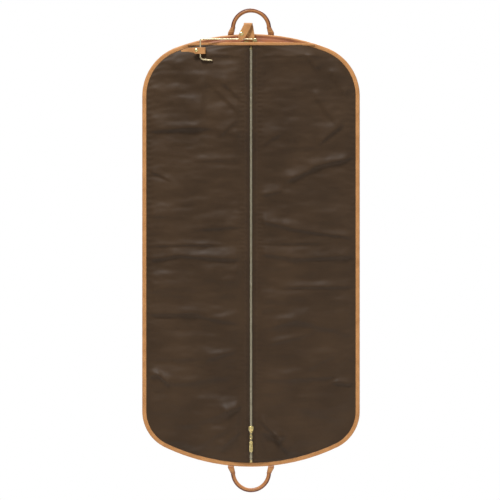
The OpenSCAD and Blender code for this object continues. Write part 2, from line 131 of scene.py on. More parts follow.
def add(tree, kind, inputs=None, **settings):
    """Adds a node, sets its properties, and sets or links its inputs."""
    made = tree.nodes.new(kind)
    for key, value in settings.items():
        setattr(made, key, value)
    for key, value in (inputs or {}).items():
        if isinstance(value, bpy.types.NodeSocket):
            tree.links.new(value, made.inputs[key])
        else:
            made.inputs[key].default_value = value
    return made


def light_the_studio():
    world = bpy.data.worlds.new("studio")
    bpy.context.scene.world = world
    world.use_nodes = True
    tree = world.node_tree
    tree.nodes.clear()
    seen = add(tree, "ShaderNodeBackground", {"Color": (1, 1, 1, 1), "Strength": 1.0})
    lit = add(tree, "ShaderNodeBackground", {"Color": (1, 1, 1, 1), "Strength": 0.36})
    path = add(tree, "ShaderNodeLightPath")
    mix = add(tree, "ShaderNodeMixShader",
              {0: path.outputs["Is Camera Ray"], 1: lit.outputs[0], 2: seen.outputs[0]})
    add(tree, "ShaderNodeOutputWorld", {"Surface": mix.outputs[0]})
    area_light("key", (-1.0, -2.1, 3.2), (0, 0, -0.75), 1.0, 215)
    area_light("fill", (2.4, -2.2, -0.4), (0, 0, -0.6), 2.2, 15)
    area_light("rear", (0.8, 2.3, 2.4), (0, 0, -0.7), 1.4, 130)
    bpy.context.scene.view_settings.view_transform = "Standard"


make_camera()
light_the_studio()


# ----- Materials -----------------------------------------------------------------------------


def new_material(name):
    material = bpy.data.materials.new(name)
    material.use_nodes = True
    material.node_tree.nodes.clear()
    return material, material.node_tree


def finish_material(tree, base, rough, bump=None, **sockets):
    inputs = {"Base Color": base, "Roughness": rough}
    if bump is not None:
        inputs["Normal"] = bump
    inputs.update({key.replace("_", " "): value for key, value in sockets.items()})
    shader = add(tree, "ShaderNodeBsdfPrincipled", inputs)
    add(tree, "ShaderNodeOutputMaterial", {"Surface": shader.outputs[0]})


def woven_nylon(name, colour, dark, thread_mm):
    """Plain-weave nylon: matt with a low sheen, threads crossing, the dye a little uneven."""
    material, tree = new_material(name)
    place = add(tree, "ShaderNodeTexCoord").outputs["Object"]
    axes = add(tree, "ShaderNodeSeparateXYZ", {0: place})
    waves = []
    for axis in ("X", "Z"):
        turn = add(tree, "ShaderNodeMath", {0: axes.outputs[axis], 1: math.pi / (thread_mm * MM)},
                   operation="MULTIPLY")
        wave = add(tree, "ShaderNodeMath", {0: turn.outputs[0]}, operation="SINE")
        waves.append(add(tree, "ShaderNodeMath", {0: wave.outputs[0]}, operation="ABSOLUTE"))
    weave = add(tree, "ShaderNodeMath", {0: waves[0].outputs[0], 1: waves[1].outputs[0]},
                operation="MAXIMUM")
    # Slubs: threads that run thick for a few centimetres, across and down the cloth
    streak = add(tree, "ShaderNodeMapping", {"Vector": place, "Scale": (30, 30, 420)})
    slub = add(tree, "ShaderNodeTexNoise",
               {"Vector": streak.outputs[0], "Scale": 1.0, "Detail": 3.0, "Roughness": 0.6})
    cloud = add(tree, "ShaderNodeTexNoise",
                {"Vector": place, "Scale": 7.0, "Detail": 5.0, "Roughness": 0.55})
    tone = add(tree, "ShaderNodeMath", {0: slub.outputs[0], 1: 0.22, 2: cloud.outputs[0]},
               operation="MULTIPLY_ADD")
    ramp = add(tree, "ShaderNodeValToRGB", {0: tone.outputs[0]})
    ramp.color_ramp.elements[0].position = 0.45
    ramp.color_ramp.elements[0].color = (*srgb(dark), 1)
    ramp.color_ramp.elements[1].position = 0.75
    ramp.color_ramp.elements[1].color = (*srgb(colour), 1)
    shade = add(tree, "ShaderNodeMix", {0: 0.16, 6: ramp.outputs[0], 7: weave.outputs[0]},
                data_type="RGBA", blend_type="MULTIPLY")
    bump = add(tree, "ShaderNodeBump", {"Height": weave.outputs[0], "Strength": 0.35,
                                        "Distance": 0.15 * MM})
    crumple = add(tree, "ShaderNodeTexNoise",
                  {"Vector": place, "Scale": 32.0, "Detail": 4.0, "Roughness": 0.5})
    soft = add(tree, "ShaderNodeBump", {"Height": crumple.outputs[0], "Strength": 0.35,
                                        "Distance": 1.6 * MM, "Normal": bump.outputs[0]})
    rough = add(tree, "ShaderNodeMapRange",
                {"Value": cloud.outputs[0], "To Min": 0.46, "To Max": 0.62})
    finish_material(tree, shade.outputs[2], rough.outputs[0], soft.outputs[0],
                    Sheen_Weight=0.05, Sheen_Roughness=0.4, Specular_IOR_Level=0.22)
    return material


def tanned_leather(name, colour, dark, grain_mm, rough=0.5, coat=0.0):
    """Vegetable-tanned cowhide: fine pores, cloudy tan that deepens with handling, soft shine."""
    material, tree = new_material(name)
    place = add(tree, "ShaderNodeTexCoord").outputs["Object"]
    cloud = add(tree, "ShaderNodeTexNoise",
                {"Vector": place, "Scale": 28.0, "Detail": 6.0, "Roughness": 0.62})
    ramp = add(tree, "ShaderNodeValToRGB", {0: cloud.outputs[0]})
    ramp.color_ramp.elements[0].position = 0.3
    ramp.color_ramp.elements[0].color = (*srgb(dark), 1)
    ramp.color_ramp.elements[1].position = 0.62
    ramp.color_ramp.elements[1].color = (*srgb(colour), 1)
    pores = add(tree, "ShaderNodeTexVoronoi", {"Vector": place, "Scale": 1 / (grain_mm * MM)},
                feature="F1")
    fine = add(tree, "ShaderNodeTexNoise",
               {"Vector": place, "Scale": 1 / (grain_mm * 2.4 * MM), "Detail": 6.0, "Roughness": 0.7})
    pore_bump = add(tree, "ShaderNodeBump", {"Height": pores.outputs["Distance"], "Strength": 0.45,
                                             "Distance": 0.12 * MM})
    bump = add(tree, "ShaderNodeBump", {"Height": fine.outputs[0], "Strength": 0.3,
                                        "Distance": 0.35 * MM, "Normal": pore_bump.outputs[0]})
    shine = add(tree, "ShaderNodeMapRange",
                {"Value": cloud.outputs[0], "To Min": rough - 0.08, "To Max": rough + 0.12})
    finish_material(tree, ramp.outputs[0], shine.outputs[0], bump.outputs[0],
                    Specular_IOR_Level=0.42, Coat_Weight=coat, Coat_Roughness=0.3)
    return material


def polished_metal(name, colour, worn, rough):
    """Brass or steel, drawn or cast and polished: bright, with faint rubbing and cloudy hollows."""
    material, tree = new_material(name)
    place = add(tree, "ShaderNodeTexCoord").outputs["Object"]
    cloud = add(tree, "ShaderNodeTexNoise",
                {"Vector": place, "Scale": 160.0, "Detail": 5.0, "Roughness": 0.6})
    ramp = add(tree, "ShaderNodeValToRGB", {0: cloud.outputs[0]})
    ramp.color_ramp.elements[0].position = 0.34
    ramp.color_ramp.elements[0].color = (*srgb(worn), 1)
    ramp.color_ramp.elements[1].position = 0.6
    ramp.color_ramp.elements[1].color = (*srgb(colour), 1)
    rub = add(tree, "ShaderNodeMapping", {"Vector": place, "Scale": (3000, 3000, 260)})
    lines = add(tree, "ShaderNodeTexNoise", {"Vector": rub.outputs[0], "Scale": 1.0, "Detail": 2.0})
    shine = add(tree, "ShaderNodeMapRange",
                {"Value": lines.outputs[0], "To Min": rough - 0.07, "To Max": rough + 0.1})
    bump = add(tree, "ShaderNodeBump", {"Height": lines.outputs[0], "Strength": 0.12,
                                        "Distance": 0.05 * MM})
    finish_material(tree, ramp.outputs[0], shine.outputs[0], bump.outputs[0], Metallic=1.0)
    return material


def waxed_thread(name, colour, dark):
    """Waxed linen sewing thread: twisted, slightly glossy; its fine random light spots are partly
    fibre tone, partly painted highlight for the twist's crowns.
    """
    material, tree = new_material(name)
    place = add(tree, "ShaderNodeTexCoord").outputs["Object"]
    fibres = add(tree, "ShaderNodeTexNoise",
                 {"Vector": place, "Scale": 1800.0, "Detail": 3.0, "Roughness": 0.6})
    # The ramp's lighter end is partly painted highlight standing for light on the twist's crowns
    ramp = add(tree, "ShaderNodeValToRGB", {0: fibres.outputs[0]})
    ramp.color_ramp.elements[0].position = 0.35
    ramp.color_ramp.elements[0].color = (*srgb(dark), 1)
    ramp.color_ramp.elements[1].position = 0.65
    ramp.color_ramp.elements[1].color = (*srgb(colour), 1)
    bump = add(tree, "ShaderNodeBump", {"Height": fibres.outputs[0], "Strength": 0.4,
                                        "Distance": 0.1 * MM})
    finish_material(tree, ramp.outputs[0], 0.55, bump.outputs[0])
    return material


def painted_floor():
    """Matt white paint on board, so faintly mottled that it reads as plain."""
    material, tree = new_material("matt_white_floor")
    place = add(tree, "ShaderNodeTexCoord").outputs["Object"]
    mottle = add(tree, "ShaderNodeTexNoise", {"Vector": place, "Scale": 3.0, "Detail": 3.0})
    ramp = add(tree, "ShaderNodeValToRGB", {0: mottle.outputs[0]})
    ramp.color_ramp.elements[0].color = (*srgb("#ECEBE8"), 1)
    ramp.color_ramp.elements[1].color = (*srgb("#F6F5F3"), 1)
    finish_material(tree, ramp.outputs[0], 0.7)
    return material


# The bag's cloth is drawn with threads four times as coarse as 0.25 mm nylon, so they show
NYLON = woven_nylon("brown_woven_nylon", "#412F1D", "#372717", 1.0)
# The zip's facing is the same cloth on a finer, tighter weave, its colour darker as painted shade
# beside the teeth; the tape shares it
FACING_PAINTED_SHADE = woven_nylon("brown_zip_facing_painted_shade", "#3B2A1A", "#322315", 0.7)
BINDING = tanned_leather("tan_binding_leather", "#BE8650", "#A8723F", 0.9)
GUSSET = tanned_leather("russet_gusset_leather", "#945A36", "#7A4428", 0.9, rough=0.5)
# The handles are darkened and polished by the hand
ROLLED = tanned_leather("burnished_handle_leather", "#B07440", "#8C562E", 0.8, rough=0.42,
                        coat=0.1)
STRAP = tanned_leather("tan_strap_leather", "#BC8650", "#A47040", 0.9, rough=0.5)
EDGE_PAINT = tanned_leather("dark_red_edge_paint", "#6A3320", "#4E2214", 1.4, rough=0.36)
THREAD = waxed_thread("ochre_waxed_thread", "#D9AE76", "#A87B45")
DARK_THREAD = waxed_thread("brown_sewing_thread", "#5A4636", "#382A20")
TOOTH_BRASS = polished_metal("satin_tooth_brass", "#EFE6CB", "#D6CBA8", 0.4)
BRIGHT_BRASS = polished_metal("polished_cast_brass", "#F6E4A6", "#E2C880", 0.24)
WIRE_BRASS = polished_metal("polished_brass_wire", "#F3E3BC", "#ECDAAC", 0.26)
PLATE_BRASS = polished_metal("satin_plate_brass", "#D9BE7C", "#B0925A", 0.3)
STEEL = polished_metal("brushed_inner_steel", "#B4B4B0", "#8E8E8A", 0.34)


def make_floor():
    """A round floor well below the bag, which hangs above it."""
    radius, centre_y, drop, sides = 1.7, 0.2, 260, 96
    turns = [math.tau * i / sides for i in range(sides)]
    ring = [(radius * math.cos(a), centre_y + radius * math.sin(a), (BOTTOM_Z - drop) * MM)
            for a in turns]
    mesh = bpy.data.meshes.new("floor")
    mesh.from_pydata(ring, [], [list(range(sides))])
    mesh.materials.append(painted_floor())
    floor = bpy.data.objects.new("floor", mesh)
    bpy.context.collection.objects.link(floor)


make_floor()


# ----- The bag's outline and front surface ---------------------------------------------------


def arc_radius(rise, corner):
    """Radius of the wide arc that runs smoothly into a round corner at each side."""
    return ((HALF_W - corner) ** 2 + rise * rise - corner * corner) / (2 * (rise - corner))


def edge_height(x, rise, corner, inset):
    """Height of the edge above the springing line at x."""
    r, cx, ri = arc_radius(rise, corner), HALF_W - corner, corner - inset
    if abs(x) <= cx + ri * cx / (r - corner):
        return rise - r + math.sqrt((r - inset) ** 2 - x * x)
    return math.sqrt(max(0, ri * ri - (abs(x) - cx) ** 2))


def edge_half_w(height, rise, corner, inset):
    """Half the width at a height above the springing line."""
    r, cx, ri = arc_radius(rise, corner), HALF_W - corner, corner - inset
    if height <= ri * (r - rise) / (r - corner):
        return cx + math.sqrt(max(0, ri * ri - height * height))
    return math.sqrt(max(1, (r - inset) ** 2 - (height + r - rise) ** 2))


def top_edge(x, inset):
    return TOP_SPRING + edge_height(x, TOP_RISE, TOP_CORNER, inset)


def bottom_edge(x, inset):
    return BOTTOM_SPRING - edge_height(x, BOTTOM_RISE, BOTTOM_CORNER, inset)


def half_width(z, inset):
    """Half the bag's width at height z, inset from its edge."""
    if z > TOP_SPRING:
        return edge_half_w(z - TOP_SPRING, TOP_RISE, TOP_CORNER, inset)
    if z < BOTTOM_SPRING:
        return edge_half_w(BOTTOM_SPRING - z, BOTTOM_RISE, BOTTOM_CORNER, inset)
    return HALF_W - inset


def depth_at(z):
    """How far the front stands out on the middle line: most at the top."""
    return DEPTH_BOTTOM + (DEPTH_TOP - DEPTH_BOTTOM) * (z - BOTTOM_Z) / (STRIP_BOTTOM - BOTTOM_Z)


def front_y(x, z):
    """The front's even surface, domed from the middle line down to the binding."""
    share = max(0.0, 1 - (x / half_width(z, BINDING_W)) ** 2)
    return -DEPTH_EDGE - (depth_at(z) - DEPTH_EDGE) * share


def smooth(t):
    """0 to 1 with an easy start and end."""
    t = min(1.0, max(0.0, t))
    return t * t * (3 - 2 * t)


# ----- Mesh helpers --------------------------------------------------------------------------


def new_piece(name, points, faces, material, flat=False):
    """A mesh from points in millimetres, shaded smooth unless flat."""
    mesh = bpy.data.meshes.new(name)
    mesh.from_pydata([(p[0] * MM, p[1] * MM, p[2] * MM) for p in points], [], faces)
    mesh.validate()
    materials = material if isinstance(material, list) else [material]
    for m in materials:
        mesh.materials.append(m)
    if not flat:
        mesh.polygons.foreach_set("use_smooth", [True] * len(mesh.polygons))
    piece = bpy.data.objects.new(name, mesh)
    bpy.context.collection.objects.link(piece)
    return piece


def shell(cols, rows, back, front):
    """Points and faces of a closed thin sheet between two surfaces of (u, v)."""
    points = [side(i / cols, j / rows) for side in (back, front)
              for i in range(cols + 1) for j in range(rows + 1)]
    size = (cols + 1) * (rows + 1)

    def at(side, i, j):
        return side * size + i * (rows + 1) + j

    faces = []
    for i in range(cols):
        for j in range(rows):
            faces.append([at(1, i, j), at(1, i + 1, j), at(1, i + 1, j + 1), at(1, i, j + 1)])
            faces.append([at(0, i, j), at(0, i, j + 1), at(0, i + 1, j + 1), at(0, i + 1, j)])
    for j in range(rows):
        faces.append([at(1, 0, j), at(1, 0, j + 1), at(0, 0, j + 1), at(0, 0, j)])
        faces.append([at(1, cols, j + 1), at(1, cols, j), at(0, cols, j), at(0, cols, j + 1)])
    for i in range(cols):
        faces.append([at(1, i, rows), at(1, i + 1, rows), at(0, i + 1, rows), at(0, i, rows)])
        faces.append([at(1, i + 1, 0), at(1, i, 0), at(0, i, 0), at(0, i + 1, 0)])
    return points, faces


def ring_faces(count, sides, base=0, flip=False, closed=False, ends=True):
    """Faces that join rings of points, stored one ring after another from base.

    closed joins the last ring to the first. Otherwise ends puts a face over both ends.
    """
    faces = []
    for k in range(count if closed else count - 1):
        a, b = base + k * sides, base + (k + 1) % count * sides
        for i in range(sides):
            i2 = (i + 1) % sides
            faces.append([a + i, a + i2, b + i2, b + i])
    if ends and not closed:
        faces.append([base + i for i in range(sides - 1, -1, -1)])
        faces.append([base + (count - 1) * sides + i for i in range(sides)])
    return [face[::-1] for face in faces] if flip else faces


def sweep(path, section, frames, closed=False):
    """Points and faces of a section of (side, up) offsets carried along a path.

    frames gives each point's side and up directions. The section itself is a closed ring.
    """
    points = []
    for k, (centre, (side, up)) in enumerate(zip(path, frames)):
        for a, b in section(k / (len(path) - 1)):
            points.append(centre + side * a + up * b)
    return points, ring_faces(len(path), len(section(0.0)), closed=closed)


def path_frames(path, up_hint, closed=False):
    """Side and up directions along a path, with up as near as it can be to up_hint."""
    frames = []
    for k in range(len(path)):
        before = path[k - 1] if (k or closed) else path[k]
        after = path[(k + 1) % len(path)] if (closed or k < len(path) - 1) else path[k]
        along = (after - before).normalized()
        hint = up_hint(k) if callable(up_hint) else up_hint
        side = along.cross(hint).normalized()
        frames.append((side, side.cross(along).normalized()))
    return frames


def round_section(radius, sides=16):
    ring = [(radius * math.cos(math.tau * i / sides), radius * math.sin(math.tau * i / sides))
            for i in range(sides)]
    return lambda t: ring


def tube(name, path, radius, material, closed=False, sides=16, hint=BACKWARD):
    frames = path_frames(path, hint, closed)
    points, faces = sweep(path, round_section(radius, sides), frames, closed)
    return new_piece(name, points, faces, material)


def revolve(name, profile, centre, material, sides=40):
    """A turned piece about the Y axis through centre. profile is (radius, y) from front to back."""
    points = []
    for r, y in profile:
        for i in range(sides):
            a = math.tau * i / sides
            points.append((centre[0] + r * math.cos(a), centre[1] + y, centre[2] + r * math.sin(a)))
    return new_piece(name, points, ring_faces(len(profile), sides), material)


def join(name, pieces):
    """One piece from several of the same material."""
    with bpy.context.temp_override(active_object=pieces[0], selected_editable_objects=pieces):
        bpy.ops.object.join()
    pieces[0].name = name
    return pieces[0]


def stitch_row(name, places, directions, outward, material, length=3.2, radius=0.45):
    """One mesh of short rounded stitches, each lying along its direction on the leather."""
    points, faces = [], []
    rings = [(-1.0, 0.25), (-0.7, 0.85), (0.7, 0.85), (1.0, 0.25)]
    sides = 6
    for place, along, out in zip(places, directions, outward):
        side = along.cross(out).normalized()
        base = len(points)
        for t, swell in rings:
            sink = 0.25 * radius if abs(t) < 0.9 else -0.5 * radius
            for i in range(sides):
                a = math.tau * i / sides
                offset = side * math.cos(a) + out * math.sin(a)
                points.append(place + along * (t * length / 2) + out * sink
                              + offset * (radius * swell))
        faces += ring_faces(len(rings), sides, base)
    return new_piece(name, points, faces, material)


def spaced(path, step, closed=False):
    """Points at an even step along a path, each with the path's direction there."""
    places, directions, carried = [], [], step / 2
    count = len(path) if closed else len(path) - 1
    for k in range(count):
        a, b = path[k], path[(k + 1) % len(path)]
        length = (b - a).length
        while carried < length:
            places.append(a.lerp(b, carried / length))
            directions.append((b - a).normalized())
            carried += step
        carried -= length
    return places, directions


def fold_with_bag(piece):
    """The piece crosses the fold at half height; its place is baked into its mesh."""
    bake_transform(piece)


# ----- The cloth: two front halves and the back ----------------------------------------------


def crease(x, z, a, b, width, height):
    """A soft fold along the line a-b, which runs left to right: gentle above, sharp below."""
    dx, dz = b[0] - a[0], b[1] - a[1]
    length = math.hypot(dx, dz)
    along = ((x - a[0]) * dx + (z - a[1]) * dz) / (length * length)
    if not -0.3 < along < 1.3:
        return 0.0
    bow = 4.0 * math.sin(3.0 * along + a[0]) * along * (1 - along)
    below = ((x - a[0]) * dz - (z - a[1]) * dx) / length + bow
    fade = smooth((along + 0.2) / 0.4) * smooth((1.2 - along) / 0.4)
    return height * fade * math.exp(-(below / (width if below > 0 else 3.2 * width)) ** 2)


# Folds left in the cloth by hanging and packing: left end, right end, width below, height
FOLDS = [
    ((-264, -309), (-114, -301), 6, 3.4), ((-75, -183), (-22, -231), 5, 2.6),
    ((-95, -196), (-30, -262), 6, 2.0), ((-81, -322), (-39, -281), 6, 2.2),
    ((-264, -415), (-212, -438), 4, 2.0), ((-140, -388), (-70, -384), 4, 1.3),
    ((-268, -528), (-160, -534), 9, 2.4), ((-140, -566), (-30, -560), 5, 1.9),
    ((-264, -474), (-150, -470), 12, 2.0), ((-140, -272), (-122, -170), 10, 2.2),
    ((-264, -609), (-81, -607), 4, 2.2), ((-268, -648), (-190, -634), 5, 3.0),
    ((-205, -633), (-28, -645), 6, 3.6), ((-160, -684), (-38, -700), 12, 2.4),
    ((-272, -789), (-150, -788), 5, 2.8), ((-155, -789), (-40, -812), 6, 2.8),
    ((-270, -721), (-150, -716), 14, 1.8), ((-120, -908), (-40, -884), 7, 2.6),
    ((-272, -952), (-238, -946), 4, 3.4), ((-244, -948), (-216, -970), 4, 3.2),
    ((-222, -970), (-80, -956), 9, 2.6), ((-200, -905), (-130, -903), 7, 1.4),
    ((-70, -1046), (-24, -1030), 5, 3.4), ((-180, -1082), (-60, -1040), 14, 2.8),
    ((-170, -1150), (-40, -1076), 11, 2.4), ((-80, -1140), (-30, -1096), 6, 2.4),
    ((-250, -1010), (-160, -1030), 16, 1.8),
    ((148, -112), (176, -146), 7, 2.6), ((168, -209), (200, -262), 7, 2.6),
    ((198, -258), (233, -296), 6, 2.4), ((182, -338), (233, -298), 6, 3.4),
    ((96, -440), (172, -402), 6, 3.4), ((165, -404), (266, -378), 5, 3.4),
    ((17, -479), (80, -466), 5, 1.8), ((17, -540), (116, -566), 6, 2.4),
    ((110, -566), (268, -588), 4, 2.6), ((24, -348), (76, -318), 6, 2.0),
    ((90, -330), (170, -350), 14, 2.0), ((210, -150), (252, -216), 9, 2.0),
    ((24, -604), (190, -604), 4, 1.8), ((20, -630), (120, -642), 6, 3.2),
    ((112, -643), (268, -637), 6, 3.8), ((84, -719), (268, -716), 4, 2.6),
    ((58, -822), (120, -804), 6, 2.4), ((114, -804), (268, -842), 9, 2.8),
    ((58, -866), (160, -838), 4, 1.6), ((42, -958), (146, -956), 8, 2.8),
    ((140, -958), (222, -950), 6, 2.2), ((216, -968), (270, -972), 4, 3.6),
    ((150, -930), (214, -898), 7, 2.0), ((16, -1058), (72, -1112), 5, 3.6),
    ((66, -1108), (112, -1168), 6, 2.8), ((22, -1096), (84, -1114), 5, 2.6),
    ((120, -1030), (230, -1060), 15, 2.2), ((180, -740), (262, -760), 13, 1.8),
]


def edge_distance(x, z):
    """Distance in from the edge binding's inner line, less than nothing under the binding."""
    return min(half_width(z, BINDING_W) - abs(x), z - bottom_edge(x, BINDING_W),
               top_edge(x, BINDING_W) - z)


def under_tab(x, z):
    """1 where the hook's leather tab lies on the cloth, falling to 0 round it."""
    left, right, bottom, top = -204, -108, -132, -74
    return (smooth((x - left) / 14) * smooth((right - x) / 12)
            * smooth((z - bottom) / 14) * smooth((top - z) / 10))


# The softness of hung cloth, in layers: height, size across, size down, where it starts
FRONT_SOFTNESS = [(4.6, 120, 58, 3.7), (2.4, 62, 27, 9.2), (1.3, 44, 15, 6.6), (0.6, 18, 12, 1.4)]
BACK_SOFTNESS = [(2.0, 120, 60, 21.0), (0.9, 55, 24, 33.0)]
# The folds stand deeper below this height, where the cloth hangs slack
SLACK_Z = -940


def softness(x, z, layers):
    return sum(height * noise.noise(Vector((x / wide, z / tall, start)))
               for height, wide, tall, start in layers)


def cloth_relief(x, z, folds):
    """How far the cloth stands off its even surface: folds, press lines, puckers and softness."""
    seam = abs(x) - SEAM_X
    edge = min(edge_distance(x, z), max(0.0, STRIP_BOTTOM - z))
    inside = smooth(min(seam, edge) / 22)
    pressed = sum(crease(x, z, *fold) for fold in folds)
    pressed *= 1.75 + 0.9 * smooth((SLACK_Z - z) / 120)
    # The line pressed in under the top strip
    wobble = 3.0 * noise.noise(Vector((x / 60, 0.0, 5.1)))
    below = STRIP_BOTTOM - 27 - wobble - z
    pressed += 1.7 * math.exp(-(below / (3.5 if below > 0 else 9.0)) ** 2)
    # Gathers pulled by the sewing beside the zip and along the binding
    gather = math.sin(z / 1.9 + 2.2 * math.sin(z / 31)) * (0.6 + 0.4 * math.sin(z / 53))
    pucker = gather * math.exp(-max(0.0, seam) / 8) * smooth(seam / 2.5)
    ripple = math.sin((z + 0.2 * abs(x)) / 2.4 + 1.9 * math.sin(z / 60))
    pucker += ripple * math.exp(-max(0.0, edge) / 10) * smooth(edge / 3)
    return inside * (softness(x, z, FRONT_SOFTNESS) + pressed) + pucker


CLOTH_T = 0.9
# The cloth's cut edge lies 4 mm under the binding
CLOTH_INSET = BINDING_W - 4.0
CLOTH_COLS, CLOTH_ROWS = 72, 400


def front_cloth(name, side):
    folds = [fold for fold in FOLDS if fold[0][0] * side > 0]
    inner = 9.0

    def at(u, v, off):
        """Rows follow the straight top edge at one end and the curved bottom at the other."""
        x_share = smooth(u) * 0.35 + u * 0.65
        top = STRIP_BOTTOM + 3.0
        x = side * (inner + x_share * (HALF_W - CLOTH_INSET - inner))
        bottom = bottom_edge(x, CLOTH_INSET)
        z = top + (bottom - top) * v
        reach = half_width(z, CLOTH_INSET)
        if reach < HALF_W - CLOTH_INSET:
            x = side * (inner + x_share * (reach - inner))
            if v > 0.5:
                z = top + (bottom_edge(x, CLOTH_INSET) - top) * v
        lift = cloth_relief(x, z, folds) * cover(x, z)
        pressed = under_tab(x, z)
        lift = lift * (1 - pressed) + min(lift, 0.0) * pressed
        tuck = 1.7 * smooth(0.3 - edge_distance(x, z) / 2.5)
        return Vector((x, front_y(x, z) - lift - 0.4 - off + tuck, z))

    def cover(x, z):
        """No relief where the cloth is sewn under binding, strip or zip facing."""
        return smooth((half_width(z, BINDING_W) - abs(x)) / 6) * smooth((STRIP_BOTTOM - z) / 6)

    points, faces = shell(CLOTH_COLS, CLOTH_ROWS, lambda u, v: at(u, v, 0),
                          lambda u, v: at(u, v, CLOTH_T))
    if side > 0:
        faces = [f[::-1] for f in faces]
    piece = new_piece(name, points, faces, NYLON)
    word = "left" if side < 0 else "right"
    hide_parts("front_%s_upper" % word, "front_%s_lower" % word)
    fold_with_bag(piece)
    return piece


front_left = front_cloth("front_left_cloth", -1)
front_right = front_cloth("front_right_cloth", 1)


def back_cloth():
    """The flat back, one layer of the same cloth with slight softness."""
    def at(u, v, off):
        x = (2 * u - 1) * (HALF_W - CLOTH_INSET)
        top, bottom = top_edge(x, CLOTH_INSET), bottom_edge(x, CLOTH_INSET)
        z = top + (bottom - top) * v
        reach = half_width(z, CLOTH_INSET)
        x = max(-reach, min(reach, x))
        edge = min(reach - abs(x), top - z, z - bottom)
        soft = softness(x, z, BACK_SOFTNESS) + 1.6 * math.exp(-((z - FOLD_Z) / 5.5) ** 2)
        return Vector((x, 0.9 + off + max(-0.3, soft) * smooth(edge / 25), z))

    points, faces = shell(60, 150, lambda u, v: at(u, v, CLOTH_T), lambda u, v: at(u, v, 0))
    piece = new_piece("back_cloth", points, faces, NYLON)
    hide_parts("back_panel_upper", "back_panel_lower")
    fold_with_bag(piece)
    return piece


back = back_cloth()


# ----- Edge binding: leather folded over the edge and sewn through ---------------------------


def outline_path(inset, arc_steps=56, side_steps=120):
    """Points round the bag's edge in order, at y = 0, starting at the top middle."""
    points = []
    for i in range(arc_steps + 1):
        x = (HALF_W - inset) * math.sin(math.pi / 2 * i / arc_steps)
        points.append(Vector((x, 0, top_edge(x, inset))))
    for i in range(1, side_steps):
        z = TOP_SPRING + (BOTTOM_SPRING - TOP_SPRING) * i / side_steps
        points.append(Vector((HALF_W - inset, 0, z)))
    for i in range(arc_steps, -1, -1):
        x = (HALF_W - inset) * math.sin(math.pi / 2 * i / arc_steps)
        points.append(Vector((x, 0, bottom_edge(x, inset))))
    left = [Vector((-p.x, 0, p.z)) for p in reversed(points[1:-1])]
    return points + left


SEW_STEP = 4.6
# Stitches run this far in from the binding's raw edge
SEW_MARGIN = 2.6


def binding_section(half_t, width):
    """A rounded outer fold and two flat cheeks, their raw edges turned slightly in."""
    ring = [(half_t * math.sin(a), half_t * math.cos(a) + width / 2 - half_t)
            for a in [math.pi / 2 * (1 - i / 7 * 2) for i in range(8)]]
    # One cheek from the groove that the stitches lie in to the raw edge: (sunk, up from edge)
    cheek = [(0, SEW_MARGIN + 0.8), (0.25, SEW_MARGIN), (0, SEW_MARGIN - 0.8), (0, 0.7), (0.6, 0)]
    ring += [(sunk - half_t, up - width / 2) for sunk, up in cheek]
    ring += [(half_t - sunk, up - width / 2) for sunk, up in reversed(cheek)]
    return lambda t: ring


def outward_at(path, k):
    along = (path[(k + 1) % len(path)] - path[k - 1]).normalized()
    return Vector((-along.z, 0, along.x))


def edge_binding():
    half_t = EDGE_T / 2
    path = outline_path(BINDING_W / 2)
    frames = []
    for k in range(len(path)):
        out = outward_at(path, k)
        ripple = 0.12 * math.sin(k * 1.7) * math.sin(k * 0.37)
        frames.append((BACKWARD, out))
        path[k] = path[k] + out * ripple
    points, faces = sweep(path, binding_section(half_t, BINDING_W), frames, True)
    piece = new_piece("edge_binding_leather", points, faces, BINDING)
    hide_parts("binding_upper", "binding_lower")
    fold_with_bag(piece)
    places, along = spaced(outline_path(BINDING_W - SEW_MARGIN), SEW_STEP, True)
    rows = []
    for name, y in (("front", -half_t), ("back", half_t)):
        out = [Vector((0, math.copysign(1, y), 0))] * len(places)
        rows.append(stitch_row("binding_stitches_" + name, [p + Vector((0, y, 0)) for p in places],
                               along, out, THREAD))
    row = join("binding_stitches", rows)
    fold_with_bag(row)


edge_binding()


# ----- Front top binding and gusset -----------------------------------------------------------


STRIP_END = high("front_top_binding", 0) - 8
STRIP_T = 2.4
STRIP_LIFT = 1.2


def front_top_strip():
    steps = 90
    mid_z = (STRIP_TOP + STRIP_BOTTOM) / 2
    height = STRIP_TOP - STRIP_BOTTOM
    path = []
    for i in range(steps + 1):
        x = STRIP_END * (2 * i / steps - 1)
        sag = 0.5 * noise.noise(Vector((x / 40, 2.0, 7.0)))
        y = front_y(x, mid_z) - STRIP_LIFT - STRIP_T / 2 + 0.2
        path.append(Vector((x, y, mid_z + sag * 0.5)))
    frames = path_frames(path, UPWARD)
    # Both ends run out under the edge binding's curve
    room = [min(height, max(1.2, top_edge(p.x, 2.5) - STRIP_BOTTOM)) / height for p in path]
    h, t = height / 2, STRIP_T / 2
    ring = [(t * math.cos(a), h - t + t * math.sin(a)) for a in [math.pi * i / 8 for i in range(9)]]
    ring += [(-t, -h + 3.0), (-t + 0.25, -h + 2.3), (-t, -h + 1.6), (-t + 0.5, -h),
             (t - 0.5, -h), (t, -h + 1.6), (t - 0.25, -h + 2.3), (t, -h + 3.0)]

    def section(share):
        tall = room[round(share * steps)]
        return [(a, -h + (b + h) * tall) for a, b in ring]

    points, faces = sweep(path, section, frames)
    piece = new_piece("front_top_binding_leather", points, faces, BINDING)
    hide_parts("front_top_binding")
    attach(piece, "root")
    sewn = [p + frames[k][1] * (-h + 2.3) + Vector((0, -t - 0.1, 0)) for k, p in enumerate(path)]
    places, along = spaced(sewn, SEW_STEP)
    stitches = stitch_row("front_top_stitches", places, along, [FORWARD] * len(places),
                          THREAD)
    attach(stitches, "root")


front_top_strip()

GUSSET_T = 1.3
GUSSET_INSET = 4.2
GUSSET_END = half_width(STRIP_TOP - 1, GUSSET_INSET) - 2


